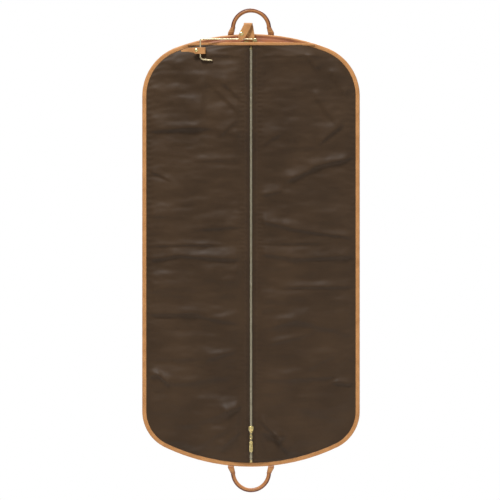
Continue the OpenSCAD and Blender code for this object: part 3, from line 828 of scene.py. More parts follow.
def gusset_leather():
    """Thin leather from the straight front edge back and up over the curved edge binding."""
    bend = 0.62

    def at(u, v, off):
        x = GUSSET_END * (2 * u - 1)
        foot = top_edge(x, BINDING_W)
        z_back = max(STRIP_TOP, foot)
        y_back = -EDGE_T / 2 - GUSSET_T - 0.15
        y_front = min(y_back, front_y(x, STRIP_TOP))
        soft = noise.noise(Vector((x / 26, v * 1.5, 4.0)))
        if v < bend:
            t = v / bend
            y = y_front + (y_back - y_front) * t
            z = STRIP_TOP + (z_back - STRIP_TOP) * t * t + 0.7 * soft * math.sin(math.pi * t)
            lean = t
        else:
            t = (v - bend) / (1 - bend)
            y = y_back - 0.25 * soft * math.sin(math.pi * t)
            z = z_back + (top_edge(x, GUSSET_INSET) - z_back) * t
            lean = 1.0
        # Thickness is measured downward on the flat part and backward on the upright part
        return Vector((x, y + off * lean, z - off * (1 - lean)))

    points, faces = shell(110, 22, lambda u, v: at(u, v, GUSSET_T), lambda u, v: at(u, v, 0))
    piece = new_piece("gusset_leather_sheet", points, faces, GUSSET)
    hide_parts("gusset")
    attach(piece, "root")


gusset_leather()


# ----- Zip: facings, tapes, teeth, stops --------------------------------------------------------


def on_zip(x, out, z):
    """A point beside the zip: x across, out in front of the zip's own plane, at height z.

    The zip is straight and leans forward up the bag, so out is square to that line.
    """
    chain_bottom = TEETH_BOTTOM
    along = (z - chain_bottom) / math.cos(ZIP_LEAN)
    y = -depth_at(chain_bottom) - along * math.sin(ZIP_LEAN) - out * math.cos(ZIP_LEAN)
    return Vector((x, y, chain_bottom + along * math.cos(ZIP_LEAN) - out * math.sin(ZIP_LEAN)))


ZIP_UP = Vector((0, -math.sin(ZIP_LEAN), math.cos(ZIP_LEAN)))
ZIP_OUT = Vector((0, -math.cos(ZIP_LEAN), -math.sin(ZIP_LEAN)))
FACING_EDGE = 4.6


def zip_facing(side, name):
    """The cloth edge turned under beside the teeth: a rounded lip, then flat under the seam."""
    rows = 260
    profile = [(FACING_EDGE, -0.9), (FACING_EDGE - 0.35, -0.2), (FACING_EDGE, 0.7),
               (FACING_EDGE + 1.0, 1.35), (FACING_EDGE + 2.6, 1.5),
               (FACING_EDGE + 5.5, 1.25), (FACING_EDGE + 9.5, 1.15),
               (SEAM_X - 2.4, 1.2), (SEAM_X - 0.9, 0.9), (SEAM_X, 0.35)]
    under = [(x, min(-0.9, out - 1.2)) for x, out in reversed(profile[1:])]
    ring = profile + under
    top, bottom = STRIP_TOP - 1.0, BOTTOM_Z + BINDING_W + 0.7
    points = []
    for j in range(rows + 1):
        z = top + (bottom - top) * j / rows
        sway = 0.35 * noise.noise(Vector((side * 7.0, z / 45, 2.0)))
        closing = smooth((z - TEETH_TOP - 4.5) / 4) + smooth((TEETH_BOTTOM - 5.6 - z) / 3)
        for x, out in ring:
            x -= (FACING_EDGE - 0.5) * closing * max(0.0, (SEAM_X - x) / (SEAM_X - FACING_EDGE))
            gather = 0.16 * math.sin(z / 2.9 + 2 * math.sin(z / 23)) * smooth((x - FACING_EDGE) / 6)
            raised = gather if out > 0.5 else 0.0
            points.append(on_zip(side * (x + sway * 0.4), out + raised, z))
    # The facing's cloth is darkened as painted shade beside the teeth
    return new_piece(name, points, ring_faces(rows + 1, len(ring), flip=side > 0), FACING_PAINTED_SHADE)


def zip_tape(side, name):
    """Woven tape that carries the teeth, with a cord bead along its inner edge."""
    ring = [(FACING_EDGE + 3.0, -0.6), (FACING_EDGE + 3.0, 0.1), (2.4, 0.1), (2.1, 0.45),
            (1.7, 0.3), (1.5, -0.1), (1.8, -0.6)]
    rows = 200
    top, bottom = STRIP_TOP - 2.0, BOTTOM_Z + BINDING_W
    points = []
    for j in range(rows + 1):
        z = top + (bottom - top) * j / rows
        points += [on_zip(side * x, out, z) for x, out in ring]
    # The tape takes the facing's darker cloth, painted shade beside the teeth
    return new_piece(name, points, ring_faces(rows + 1, len(ring), flip=side < 0), FACING_PAINTED_SHADE)


TOOTH_PITCH = 2.3


def zip_teeth(side, name):
    """One row of stamped brass teeth: a clamped root on the cord and a waisted, rounded head."""
    # Half a tooth's outline across the zip: (distance from the middle line, half height)
    outline = [(-0.7, 0.30), (-0.45, 0.52), (0.1, 0.60), (0.7, 0.48), (1.3, 0.50), (2.2, 0.66),
               (2.95, 0.62), (3.0, 0.5)]
    ring = outline + [(x, -h) for x, h in reversed(outline)]
    layers = [(-1.1, 0.86), (-0.9, 1.0), (0.95, 1.0), (1.25, 0.84)]
    mid = 1.2
    points, faces = [], []
    for k in range(int((TEETH_TOP - TEETH_BOTTOM) / TOOTH_PITCH)):
        z = TEETH_BOTTOM + TOOTH_PITCH * (k + (0.25 if side > 0 else 0.75))
        faces += ring_faces(len(layers), len(ring), base=len(points), flip=side > 0)
        for out, shrink in layers:
            for x, h in ring:
                across = side * (mid + (x - mid) * (0.5 + shrink / 2))
                points.append(on_zip(across, out, z) + ZIP_UP * (h * shrink))
    return new_piece(name, points, faces, TOOTH_BRASS, flat=True)


def zip_rows():
    for side, word in ((-1, "left"), (1, "right")):
        facing = zip_facing(side, "zip_facing_" + word)
        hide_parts("zip_tape_%s_upper" % word, "zip_tape_%s_lower" % word)
        fold_with_bag(facing)
        tape = zip_tape(side, "zip_tape_" + word)
        fold_with_bag(tape)
        teeth = zip_teeth(side, "zip_teeth_" + word)
        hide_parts("zip_teeth_%s_upper" % word, "zip_teeth_%s_lower" % word)
        fold_with_bag(teeth)
        seam = [on_zip(side * (SEAM_X - 2.6), 1.2, STRIP_BOTTOM - 1 - 4 * i) for i in range(270)]
        seam = [p for p in seam if p.z > BOTTOM_Z + BINDING_W + 2]
        lip = [on_zip(side * (FACING_EDGE + 2.6), 1.5, p.z) for p in seam]
        rows = []
        for line in (seam, lip):
            places, along = spaced(line, 3.4)
            rows.append(stitch_row("row", places, along, [ZIP_OUT] * len(places), DARK_THREAD,
                                   length=2.5, radius=0.26))
        fold_with_bag(join("zip_stitches_" + word, rows))


zip_rows()


def rounded_block(name, width, depth, height, centre, material, soften):
    """A small metal block whose edges are rubbed round, set square to the zip."""
    w, d, h = width / 2, depth / 2, height / 2
    corners = [(-w, -h), (w, -h), (w, h), (-w, h)]
    layers = [(-d, soften), (-d + soften, 0), (d - soften, 0), (d, soften)]
    points = []
    for out, cut in layers:
        for x, z in corners:
            sx, sz = math.copysign(1, x), math.copysign(1, z)
            for dx, dz in ((cut + soften, cut), (cut, cut + soften)):
                if sx * sz > 0:
                    dx, dz = dz, dx
                points.append(centre + Vector((x - sx * dx, 0, 0)) + ZIP_UP * (z - sz * dz)
                              + ZIP_OUT * out)
    faces = ring_faces(len(layers), 2 * len(corners), flip=True)
    return new_piece(name, points, faces, material, flat=True)


def zip_stops():
    pair = [rounded_block("top_stop", 2.3, 2.8, 4.2, on_zip(x, 0.1, TEETH_TOP + 2.1),
                          BRIGHT_BRASS, 0.35) for x in (-1.9, 1.9)]
    stops = join("zip_top_stops_brass", pair)
    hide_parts("zip_top_stops")
    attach(stops, "root")
    bottom = rounded_block("zip_bottom_stop_brass", 6.4, 2.7, 5.6,
                           on_zip(0, 0.1, TEETH_BOTTOM - 2.8), BRIGHT_BRASS, 0.5)
    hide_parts("zip_bottom_stop")
    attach(bottom, "lower_half")


zip_stops()


# ----- Slider, pull chain and tab ----------------------------------------------------------------


SLIDER_Z = (low("slider_body", 2) + high("slider_body", 2)) / 2
SLIDER_FRONT = 1.4
PLATE_T = 1.2
LUG_OUT = SLIDER_FRONT + PLATE_T + 2.6


def plate(name, outline, out_back, out_front, centre_z, material, edge=0.35, crown=0.0):
    """A stamped plate on the zip's plane: rolled edges, and a crown if it is domed."""
    cx = sum(x for x, z in outline) / len(outline)
    cz = sum(z for x, z in outline) / len(outline)
    rings = [(out_back, 1 - edge / 6), (out_back + edge, 1.0), (out_front - edge, 1.0),
             (out_front - edge * 0.3, 1 - edge / 14), (out_front, 1 - edge / 5),
             (out_front + crown * 0.6, 0.7), (out_front + crown, 0.35)]
    points = []
    for out, scale in rings:
        points += [on_zip(cx + (x - cx) * scale, out, centre_z) + ZIP_UP * (cz + (z - cz) * scale)
                   for x, z in outline]
    return new_piece(name, points, ring_faces(len(rings), len(outline)), material)


def rounded_outline(width_at, top, bottom, steps=10, corner=1.6):
    """A symmetric outline whose half width is width_at(height share), corners rounded."""
    right = []
    for i in range(steps + 1):
        t = i / steps
        z = top + (bottom - top) * t
        from_end = min(z - bottom, top - z)
        cut = corner - math.sqrt(max(0, corner ** 2 - max(0, corner - from_end) ** 2))
        right.append((width_at(t) - cut, z))
    return right + [(-x, z) for x, z in reversed(right)]


def slider():
    shield = rounded_outline(lambda t: 6.2 - 1.1 * smooth((t - 0.35) / 0.6), 7.0, -7.0, 18, 2.4)
    front = plate("slider_front", shield, SLIDER_FRONT, SLIDER_FRONT + PLATE_T, SLIDER_Z,
                  BRIGHT_BRASS, crown=0.5)
    rear = plate("slider_rear", shield, -SLIDER_FRONT - 1.4, -SLIDER_FRONT - 0.5, SLIDER_Z,
                 BRIGHT_BRASS)
    # Flanges turned in along both sides, and the diamond that parts the rows
    sides = []
    for x in (-5.4, 5.4):
        sides.append(rounded_block("slider_flange", 1.0, 3.2, 10.5,
                                   on_zip(x, 0.3, SLIDER_Z + 0.6), BRIGHT_BRASS, 0.25))
    sides.append(rounded_block("slider_diamond", 2.0, 4.4, 4.6, on_zip(0, 0.1, SLIDER_Z + 4.4),
                               BRIGHT_BRASS, 0.3))
    # The bridge that the chain hangs from: an arch of flat bar from the top of the plate
    arch = []
    for i in range(15):
        a = math.pi * i / 14
        out = SLIDER_FRONT + 0.9 + 4.0 * math.sin(a) ** 0.75
        arch.append(on_zip(0, out, SLIDER_Z + 4.2 * math.cos(a)))
    flat_bar = [(1.4, 0.35), (1.2, 0.55), (-1.2, 0.55), (-1.4, 0.35), (-1.4, -0.35), (-1.2, -0.5),
                (1.2, -0.5), (1.4, -0.35)]
    frames = path_frames(arch, ACROSS)
    frames = [(up, side) for side, up in frames]
    points, faces = sweep(arch, lambda t: flat_bar, frames)
    bridge = new_piece("slider_bridge", points, faces, BRIGHT_BRASS)
    whole = join("zip_slider_brass", [front, rear, bridge] + sides)
    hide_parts("slider_body")
    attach(whole, "slider")


slider()

LINK_PITCH, LINK_W, LINK_WIRE, LINK_COUNT = 8.2, 5.6, 0.8, 4
LINK_LEN = LINK_PITCH + 2 * LINK_WIRE + 0.2


def pull_chain():
    """Four oval links of drawn wire, each turned a quarter from the next."""
    links = []
    for k in range(LINK_COUNT):
        top = -k * LINK_PITCH
        bend_r = LINK_W / 2
        across = ACROSS if k % 2 == 0 else ZIP_OUT
        path = []
        for end in (0, 1):
            centre = top - bend_r if end == 0 else top - LINK_LEN + bend_r
            for i in range(13):
                a = math.pi * (i / 12 + end)
                path.append(on_zip(0, LUG_OUT, SLIDER_Z) + across * (bend_r * math.cos(a))
                            + ZIP_UP * (centre + bend_r * math.sin(a)))
        hint = ZIP_OUT if k % 2 == 0 else ACROSS
        links.append(tube("link", path, LINK_WIRE, BRIGHT_BRASS, True, 12, hint))
    chain = join("pull_chain_brass", links)
    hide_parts("pull_chain")
    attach(chain, "pull")


pull_chain()


EYE_R = 4.2
TAB_LEN = 26.0
TAB_MID = -11.0


def pull_tab():
    """A long stamped tab with an eyelet, a raised rim and a sunk panel."""
    width, half_t = 9.0, 0.8
    end_r = width / 2
    eye_z = -LINK_COUNT * LINK_PITCH - LINK_WIRE - 1.9
    centre = on_zip(0, LUG_OUT, SLIDER_Z) + ZIP_UP * eye_z

    def half_w(z):
        """Half width down the tab, from the eyelet at 0."""
        if z > 0:
            return math.sqrt(max(0, EYE_R ** 2 - z * z))
        if z < end_r - TAB_LEN:
            return math.sqrt(max(0, end_r ** 2 - (end_r - TAB_LEN - z) ** 2))
        neck = EYE_R - 0.5 * math.exp(-((z + 5) / 2.2) ** 2)
        return neck + (end_r - neck) * smooth((-z - 4) / 6)

    outer = []
    steps = 44
    for i in range(steps + 1):
        z = EYE_R - (TAB_LEN + EYE_R) * (1 - math.cos(math.pi * i / steps)) / 2
        outer.append((half_w(z), z))
    outer += [(-x, z) for x, z in reversed(outer[1:-1])]
    # Rings up the edge, over the rim and down to the sunk panel: (distance in, height)
    rings = [(0.3, -half_t), (0.0, -half_t + 0.3), (0.0, half_t - 0.3), (0.3, half_t),
             (1.1, half_t), (1.4, half_t - 0.35), (2.6, half_t - 0.35)]
    points = []
    for inset, out in rings:
        for x, z in outer:
            pull = 1 - inset / max(inset, math.hypot(x, z - TAB_MID))
            points.append(centre + Vector((x * pull, 0, 0))
                          + ZIP_UP * (TAB_MID + (z - TAB_MID) * pull) + ZIP_OUT * out)
    faces = ring_faces(len(rings), len(outer), flip=True)
    body = new_piece("pull_tab_body", points, faces, BRIGHT_BRASS)
    turns = [math.tau * i / 28 for i in range(28)]
    ring = [centre + (Vector((math.cos(a), 0, 0)) + ZIP_UP * math.sin(a)) * 2.35 for a in turns]
    eyelet = tube("pull_tab_eyelet", ring, 0.75, BRIGHT_BRASS, True, 10, ZIP_OUT)
    tab = join("pull_tab_brass", [body, eyelet])
    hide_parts("pull_tab")
    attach(tab, "pull_tab")


pull_tab()


# ----- Handles: rolled leather over cord, sewn along a dark keel, held by wrapped anchors --------


GRIP_R = (high("top_handle_grip", 1) - low("top_handle_grip", 1)) / 2
ARCH_R = high("top_handle_grip", 0) - GRIP_R
ANCHOR_T = high("top_handle_anchor_left", 1) - low("top_handle_anchor_left", 1)
ANCHOR_W = 16.0
ANCHOR_X = ARCH_R + 5.5


def handle(body, centre_z, pivot_z, up):
    """One handle on its body; up is +1 for the top one and -1 for the bottom one."""
    def at(x, z):
        return Vector((x, 0, centre_z + up * z))

    steps = 64
    tail = 7.0
    path, outs = [], []
    for i in range(steps + 1):
        a = math.pi * i / steps
        path.append(at(-ARCH_R * math.cos(a), ARCH_R * math.sin(a)))
        outs.append(Vector((-math.cos(a), 0, up * math.sin(a))))
    for end, sign in ((0, -1), (steps, 1)):
        lean = (ANCHOR_X - ARCH_R) / abs(centre_z - pivot_z)
        foot = at(sign * (ARCH_R + lean * tail), -tail)
        place = 0 if end == 0 else len(path)
        path.insert(place, foot)
        outs.insert(place, outs[0 if end == 0 else -1])
    # The roll: round, drawn to a low ridge where its two edges meet and are sewn
    ring = []
    for i in range(28):
        a = math.tau * i / 28
        ridge = 0.5 * math.exp(-((a - math.pi / 2) / 0.55) ** 2)
        pinch = -0.35 * math.exp(-((abs(a - math.pi / 2) - 0.95) / 0.22) ** 2)
        r = GRIP_R - 0.35 + ridge + pinch
        ring.append((r * math.cos(a), r * math.sin(a)))
    frames = [(BACKWARD, out) for out in outs]
    points, faces = sweep(path, lambda t: ring, frames)
    roll = new_piece(body + "_roll", points, faces, ROLLED)
    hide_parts(body + "_grip")
    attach(roll, body)
    # Raw edges of the roll, dyed dark and burnished, capping the ridge
    cap = []
    for i in range(13):
        a = math.pi / 2 + (i / 12 - 0.5) * 2.2
        r = GRIP_R - 0.05 + 0.16 * math.exp(-((a - math.pi / 2) / 0.4) ** 2)
        cap.append((r * math.cos(a), r * math.sin(a)))
    cap += [(x * 0.8, y * 0.8) for x, y in reversed(cap)]
    points, faces = sweep(path, lambda t: cap, frames)
    keel = new_piece(body + "_keel", points, faces, EDGE_PAINT)
    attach(keel, body)
    rows = []
    for face in (-1, 1):
        a = math.pi / 2 + face * 1.27
        r = GRIP_R - 0.55
        out_dirs = [(side * math.cos(a) + out * math.sin(a)).normalized() for side, out in frames]
        line = [p + out * r for p, out in zip(path, out_dirs)]
        places, along = spaced(line, 3.8)
        outward = [min(zip(line, out_dirs), key=lambda pair: (pair[0] - p).length)[1]
                   for p in places]
        rows.append(stitch_row("row", places, along, outward, THREAD, length=2.6, radius=0.38))
    sewn = join(body + "_stitches", rows)
    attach(sewn, body)
    for sign, word in ((-1, "left"), (1, "right")):
        anchor(body, word, sign, centre_z, pivot_z, up)


def anchor(body, word, sign, centre_z, pivot_z, up):
    """A leather loop round the end of the grip: flat and broad at the bag, tight at the neck."""
    height = abs(centre_z - pivot_z) + 3.0

    def loop_at(rise):
        """Centre, half width, half thickness and squareness of the loop at a height."""
        share = smooth((rise - 1.5) / (height - 3.0))
        centre_x = sign * (ANCHOR_X + (ARCH_R - ANCHOR_X) * max(0.0, min(1.0, rise / height)))
        half_w = ANCHOR_W / 2 + (GRIP_R + 0.8 - ANCHOR_W / 2) * share
        half_t = ANCHOR_T / 2 + (GRIP_R + 0.35 - ANCHOR_T / 2) * share
        return centre_x, half_w, half_t, 0.38 + 0.62 * share

    levels, sides = 22, 36
    points = []
    for k in range(levels + 1):
        t = k / levels
        rise = -ANCHOR_T / 2 + (height + ANCHOR_T / 2) * t
        centre_x, half_w, half_t, power = loop_at(rise)
        if rise < 0:
            half_t *= math.sqrt(max(0.3, 1 - (rise / (ANCHOR_T / 2)) ** 2))
        lip = 0.25 * math.exp(-((t - 0.93) / 0.03) ** 2)
        for i in range(sides):
            a = math.tau * i / sides
            c, s = math.cos(a), math.sin(a)
            x = centre_x + (half_w + lip) * math.copysign(abs(c) ** power, c)
            y = (half_t + lip) * math.copysign(abs(s) ** power, s)
            edge = top_edge(x, 0) if up > 0 else bottom_edge(x, 0)
            room = (abs(pivot_z - edge) - 0.15) / (ANCHOR_T / 2)
            points.append(Vector((x, y, pivot_z + up * rise * (room if rise < 0 else 1.0))))
    faces = ring_faces(levels + 1, sides, flip=up < 0)
    loop = new_piece(body + "_anchor_leather_" + word, points, faces, ROLLED)
    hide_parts(body + "_anchor_" + word)
    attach(loop, body)
    # A pointed welt that laps the loop's front and back, sewn round its edge
    outline = [(-6.6, 0.8), (6.6, 0.8), (5.6, 5.5), (3.4, 9.6), (0.0, 13.0), (-3.4, 9.6),
               (-5.6, 5.5)]
    fine = [(p[0] + (q[0] - p[0]) * j / 4, p[1] + (q[1] - p[1]) * j / 4)
            for p, q in zip(outline, outline[1:] + outline[:1]) for j in range(4)]
    middle = 5.5
    layers = [(1.0, -0.5), (1.0, 0.35), (0.94, 0.6), (0.7, 0.65), (0.35, 0.65), (0.02, 0.65)]
    welts, rows = [], []
    for face in (-1, 1):

        def lap(x, z, scale, off):
            """A point of the outline, scaled about its middle and laid on the loop."""
            x, rise = x * scale, middle + (z - middle) * scale
            centre_x, half_w, half_t, power = loop_at(rise)
            c = min(0.999, abs(x) / half_w) ** (1 / power)
            y = half_t * math.sqrt(1 - c * c) ** power
            return Vector((centre_x + x, face * (y + off), pivot_z + up * rise))

        points = [lap(x, z, scale, off) for scale, off in layers for x, z in fine]
        faces = ring_faces(len(layers), len(fine), flip=face * up > 0, ends=False)
        welts.append(new_piece("welt", points, faces, STRAP))
        seam = [lap(x, z, 0.8, 0.72) for x, z in fine[4:]]
        places, along = spaced(seam, 2.6)
        rows.append(stitch_row("row", places, along, [Vector((0, face, 0))] * len(places), THREAD,
                               length=1.8, radius=0.3))
    welt = join(body + "_welts_" + word, welts)
    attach(welt, body)
    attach(join(body + "_welt_stitches_" + word, rows), body)


TOP_CENTRE = low("top_handle_grip", 2)
TOP_PIVOT = low("top_handle_anchor_left", 2) + ANCHOR_T / 2
BOTTOM_CENTRE = high("bottom_handle_grip", 2)
BOTTOM_PIVOT = high("bottom_handle_anchor_left", 2) - ANCHOR_T / 2
handle("top_handle", TOP_CENTRE, TOP_PIVOT, 1)
handle("bottom_handle", BOTTOM_CENTRE, BOTTOM_PIVOT, -1)


# ----- Leather strap, leather tab, and their snaps -----------------------------------------------


STRAP_T = 1.8


def band(name, stations, replaced, cols=12):
    """A leather band through stations of (left edge, right edge, outward normal).

    Its faces are grained leather and its cut edges are painted.
    """
    def at(u, v, side):
        place = v * (len(stations) - 1)
        k = min(int(place), len(stations) - 2)
        t = place - k
        left, right, out = [stations[k][i].lerp(stations[k + 1][i], t) for i in range(3)]
        share = 0.5 - 0.5 * math.cos(math.pi * u)
        width = max(0.01, (right - left).length)
        from_edge = min(share, 1 - share) * width
        half = STRAP_T / 2 * (1 - 0.35 * math.exp(-(from_edge / 0.35) ** 2))
        return left.lerp(right, share) + out.normalized() * (half * side)

    rows = len(stations) - 1
    points, faces = shell(cols, rows, lambda u, v: at(u, v, -1), lambda u, v: at(u, v, 1))
    piece = new_piece(name, points, faces, [STRAP, EDGE_PAINT])
    for polygon in piece.data.polygons[2 * cols * rows:]:
        polygon.material_index = 1
        polygon.use_smooth = False
    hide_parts(*replaced)
    return piece


def along_levels(levels, value):
    """Linear value between levels of (position, a, b) at a falling position."""
    for (p0, a0, b0), (p1, a1, b1) in zip(levels, levels[1:]):
        if value >= p1:
            t = (p0 - value) / (p0 - p1)
            return a0 + (a1 - a0) * t, b0 + (b1 - b0) * t
    return levels[-1][1], levels[-1][2]


RISER_Y = (low("strap_riser", 1) + high("strap_riser", 1)) / 2
FLAP_Y = low("strap_flap", 1) + STRAP_T / 2
STRAP_FOLD_Y = (RISER_Y + FLAP_Y) / 2
STRAP_FOLD_R = (RISER_Y - FLAP_Y) / 2
STRAP_FOLD_Z = TOP_Z + 22.8
STRAP_X = -9.0
STRAP_FOOT = low("strap_riser", 2)
FLAP_LEN = 42.6


def strap():
    """Up from the bracket, over in a soft fold, and down in front to a slanted point."""
    stations = []
    # Left and right edges down the riser by height, and down the flap by drop from the fold
    riser = [(STRAP_FOLD_Z, -18.6, 4.6), (STRAP_FOLD_Z - 5.3, -16.4, 6.0),
             (STRAP_FOLD_Z - 26, -13.2, 9.0), (STRAP_FOOT, -11.0, 10.0)]
    flap = [(0.0, -10.0, 11.5), (-12.0, -16.2, 6.0), (-27.5, -24.0, -2.6), (-34.6, -24.3, -7.0),
            (-37.5, -24.0, -12.0), (-40.5, -22.4, -16.4), (-FLAP_LEN, -20.8, -19.6)]
    for i in range(31):
        z = STRAP_FOOT + (STRAP_FOLD_Z - STRAP_FOOT) * i / 30
        a, b = along_levels(riser, z)
        stations.append((Vector((a, RISER_Y, z)), Vector((b, RISER_Y, z)), BACKWARD))
    for i in range(1, 16):
        a = math.pi * i / 16
        out = Vector((0, math.cos(a), math.sin(a)))
        centre = Vector((STRAP_X, STRAP_FOLD_Y, STRAP_FOLD_Z)) + out * STRAP_FOLD_R
        tilt = 0.35 * i / 16
        stations.append((centre - Vector((9.6 + tilt, 0, 0)),
                         centre + Vector((13.6 - tilt * 6, 0, 0)), out))
    for i in range(41):
        drop = -FLAP_LEN * (1 - (1 - i / 40) ** 1.3)
        a, b = along_levels(flap, drop)
        z = STRAP_FOLD_Z + drop
        stations.append((Vector((STRAP_X + a, FLAP_Y, z)), Vector((STRAP_X + b, FLAP_Y, z)),
                         FORWARD))
    piece = band("strap_band_leather", stations, ["strap_riser", "strap_flap"])
    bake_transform(piece)
    # Sewn down its right edge and back up its left
    right, left = [], []
    for i in range(30):
        drop = -3 - 37 * i / 29
        a, b = along_levels(flap, drop)
        face_y, z = FLAP_Y - STRAP_T / 2, STRAP_FOLD_Z + drop
        right.append(Vector((STRAP_X + b - 1.5, face_y, z)))
        left.append(Vector((STRAP_X + a + 1.5, face_y, z)))
    places, along = spaced(right + left[::-1], 3.0)
    row = stitch_row("strap_stitches", places, along, [FORWARD] * len(places), THREAD,
                     length=2.1, radius=0.26)
    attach(row, "strap_flap")


strap()

TONGUE_Y = low("tab_tongue", 1) + STRAP_T / 2
TAB_BACK_Y = high("tab_tongue", 1) - STRAP_T / 2
TAB_FOLD_Y = (TONGUE_Y + TAB_BACK_Y) / 2
TAB_FOLD_R = (TAB_BACK_Y - TONGUE_Y) / 2
TAB_FOLD_X = high("tab_tongue", 0) - TAB_FOLD_R - STRAP_T / 2
TAB_LEFT = low("tab_base", 0)
TAB_TOP = high("tab_base", 2)
TAB_H = 19.0


def tab():
    """A long low wedge of leather on the cloth, folded back over the hook's wire and snapped."""
    stations = []
    for i in range(41):
        x = TAB_LEFT + (TAB_FOLD_X - TAB_LEFT) * i / 40
        share = i / 40
        z_high = min(TAB_TOP, top_edge(x, BINDING_W))
        z_low = TAB_TOP - TAB_H * (0.55 + 0.45 * share)
        y = front_y(x, (z_high + z_low) / 2) - 1.3 - STRAP_T / 2
        y += (TAB_BACK_Y - y) * smooth((share - 0.8) / 0.2)
        z_low = z_low if x < TAB_FOLD_X - 8 else z_low + 1.5 * smooth((x - TAB_FOLD_X + 8) / 8)
        stations.append((Vector((x, y, z_low)), Vector((x, y, z_high - 0.5)), FORWARD))
    base_low, base_high = stations[-1][0].z, stations[-1][1].z
    for i in range(1, 16):
        a = math.pi * i / 16
        x, y = TAB_FOLD_X + TAB_FOLD_R * math.sin(a), TAB_FOLD_Y + TAB_FOLD_R * math.cos(a)
        out = Vector((-math.sin(a), -math.cos(a), 0))
        stations.append((Vector((x, y, base_low)), Vector((x, y, base_high)), out))
    reach = 30.6
    mid = (base_low + base_high) / 2
    half = (base_high - base_low) / 2
    for i in range(33):
        along = reach * (1 - (1 - i / 32) ** 1.25)
        to_tip = reach - along
        h = half * min(1.0, max(0.02, (to_tip / 8.6)) ** 0.72)
        x = TAB_FOLD_X - along
        stations.append((Vector((x, TONGUE_Y, mid - h)), Vector((x, TONGUE_Y, mid + h)),
                         BACKWARD))
    piece = band("hook_tab_band_leather", stations, ["tab_base", "tab_tongue"])
    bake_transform(piece)
    edge = [Vector((TAB_LEFT + 3 + (TAB_FOLD_X - TAB_LEFT - 6) * i / 20, 0, 0)) for i in range(21)]
    for p in edge:
        share = (p.x - TAB_LEFT) / (TAB_FOLD_X - TAB_LEFT)
        p.z = TAB_TOP - TAB_H * (0.55 + 0.45 * share) + 1.8
        y = front_y(p.x, TAB_TOP - TAB_H / 2) - 1.3 - STRAP_T
        p.y = y + (TAB_BACK_Y - STRAP_T / 2 - y) * smooth((share - 0.8) / 0.2)
    places, along = spaced(edge, 3.2)
    row = stitch_row("tab_stitches", places, along, [FORWARD] * len(places), THREAD,
                     length=2.2, radius=0.28)
    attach(row, "root")


tab()


def snap_cap(name, node, body):
    """A pressed snap cap: rolled rim, hollow ring, low dome with a dimple."""
    lo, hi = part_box(node)
    centre = ((lo.x + hi.x) / 2 / MM, hi.y / MM, (lo.z + hi.z) / 2 / MM)
    r, h = (hi.x - lo.x) / 2 / MM, (hi.y - lo.y) / MM
    dome = [(1, 0.3), (0.96, 0.52), (0.86, 0.6), (0.78, 0.45), (0.72, 0.42), (0.64, 0.62),
            (0.45, 0.9), (0.26, 1), (0.14, 0.96), (0.08, 0.82), (0.02, 0.8)]
    profile = [(r * 0.9, 0.25), (r * 0.99, -0.1)] + [(r * a, -h * b) for a, b in dome]
    cap = revolve(name, profile, centre, BRIGHT_BRASS, 40)
    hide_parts(node)
    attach(cap, body)


snap_cap("strap_snap_cap_brass", "strap_snap_cap", "strap_flap")
snap_cap("tab_snap_cap_brass", "tab_snap_cap", "tab_tongue")


# ----- Hanging hook and its fittings ---------------------------------------------------------------


WIRE_R = 2.0
HOOK_Y = (low("hanging_hook", 1) + high("hanging_hook", 1)) / 2
PIVOT_X = (low("hook_pin", 0) + high("hook_pin", 0)) / 2
PIVOT_Z = (low("hook_pin", 2) + high("hook_pin", 2)) / 2
CROWN_X = low("hanging_hook", 0) + WIRE_R
SHANK_Z = high("hanging_hook", 2) - WIRE_R


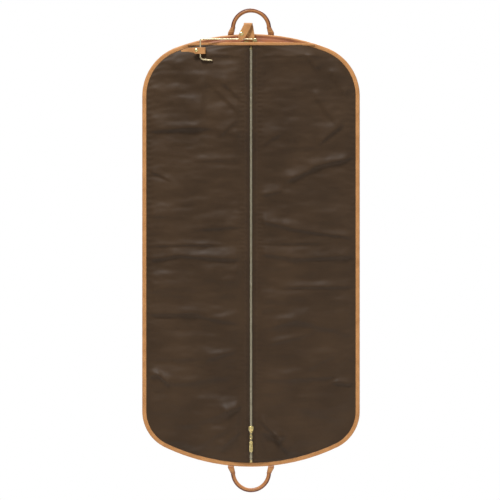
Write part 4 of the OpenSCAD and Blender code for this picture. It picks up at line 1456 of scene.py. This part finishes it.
def hook():
    """Drawn wire: flattened eye round the pin, long shank, two bends and a short tip."""
    bend_1, bend_2 = 6.0, 10.0
    return_z = PIVOT_Z - 50.5
    tip_len = 23.0
    slope = math.radians(5)
    path = [Vector((PIVOT_X - 5.4, HOOK_Y, SHANK_Z))]
    for i in range(1, 60):
        x = path[0].x + (CROWN_X + bend_1 - path[0].x) * i / 60
        path.append(Vector((x, HOOK_Y, SHANK_Z)))
    for i in range(17):
        a = math.pi / 2 + math.pi / 2 * i / 16
        path.append(Vector((CROWN_X + bend_1 + bend_1 * math.cos(a), HOOK_Y,
                            SHANK_Z - bend_1 + bend_1 * math.sin(a))))
    for i in range(21):
        a = math.pi + (math.pi / 2 - slope) * i / 20
        path.append(Vector((CROWN_X + bend_2 + bend_2 * math.cos(a), HOOK_Y,
                            return_z + bend_2 + bend_2 * math.sin(a))))
    foot = path[-1]
    run = Vector((math.cos(slope), 0, -math.sin(slope)))
    for i in range(1, 12):
        path.append(foot + run * (tip_len * i / 11))
    frames = path_frames(path, BACKWARD)
    total = len(path) - 1

    def section(t):
        k = t * total
        flat = math.exp(-(k / 3.0) ** 2)
        end = min(1.0, math.sqrt(max(0.0, (total - k) / 1.2)) + 0.12)
        rx, ry = WIRE_R * (1 + 0.35 * flat) * end, WIRE_R * (1 - 0.18 * flat) * end
        turns = [math.tau * i / 18 for i in range(18)]
        return [(rx * math.cos(a), ry * math.sin(a)) for a in turns]

    points, faces = sweep(path, section, frames)
    wire = new_piece("hook_wire", points, faces, WIRE_BRASS)
    pin = Vector((PIVOT_X, HOOK_Y, PIVOT_Z))
    outs = [Vector((math.cos(math.tau * i / 40), 0, math.sin(math.tau * i / 40))) for i in range(40)]
    ring = [pin + out * 3.5 for out in outs]
    eye_frames = [(out, BACKWARD) for out in outs]
    oval = [(1.35 * math.cos(math.tau * i / 14), 1.6 * math.sin(math.tau * i / 14))
            for i in range(14)]
    points, faces = sweep(ring, lambda t: oval, eye_frames, True)
    eye = new_piece("hook_eye", points, faces, WIRE_BRASS)
    neck = tube("hook_neck", [Vector((PIVOT_X - 3.2, HOOK_Y, SHANK_Z - 0.9)),
                              Vector((PIVOT_X - 5.0, HOOK_Y, SHANK_Z - 0.2)),
                              Vector((PIVOT_X - 7.4, HOOK_Y, SHANK_Z))], 1.65, WIRE_BRASS, False, 16)
    whole = join("hanging_hook_wire", [wire, eye, neck])
    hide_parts("hanging_hook")
    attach(whole, "hook")


hook()


# ----- Parts kept as they are, given their own metals --------------------------------------------


def dress(node, material):
    """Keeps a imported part's shape and gives it its metal."""
    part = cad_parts[node]
    part.data.materials.clear()
    part.data.materials.append(material)


for part_name, metal, slot_name in (
        ("hook_bracket", PLATE_BRASS, "bracket_brass"),
        ("bracket_rivets", BRIGHT_BRASS, "bright_brass"),
        ("hook_pin", BRIGHT_BRASS, "bright_brass"), ("strap_snap_stud", BRIGHT_BRASS, "bright_brass"),
        ("tab_snap_stud", BRIGHT_BRASS, "bright_brass"), ("backing_plate", STEEL, "inner_steel"),
        ("hanger_bar", STEEL, "inner_steel"), ("hanger_bar_posts", STEEL, "inner_steel")):
    dress(part_name, metal)
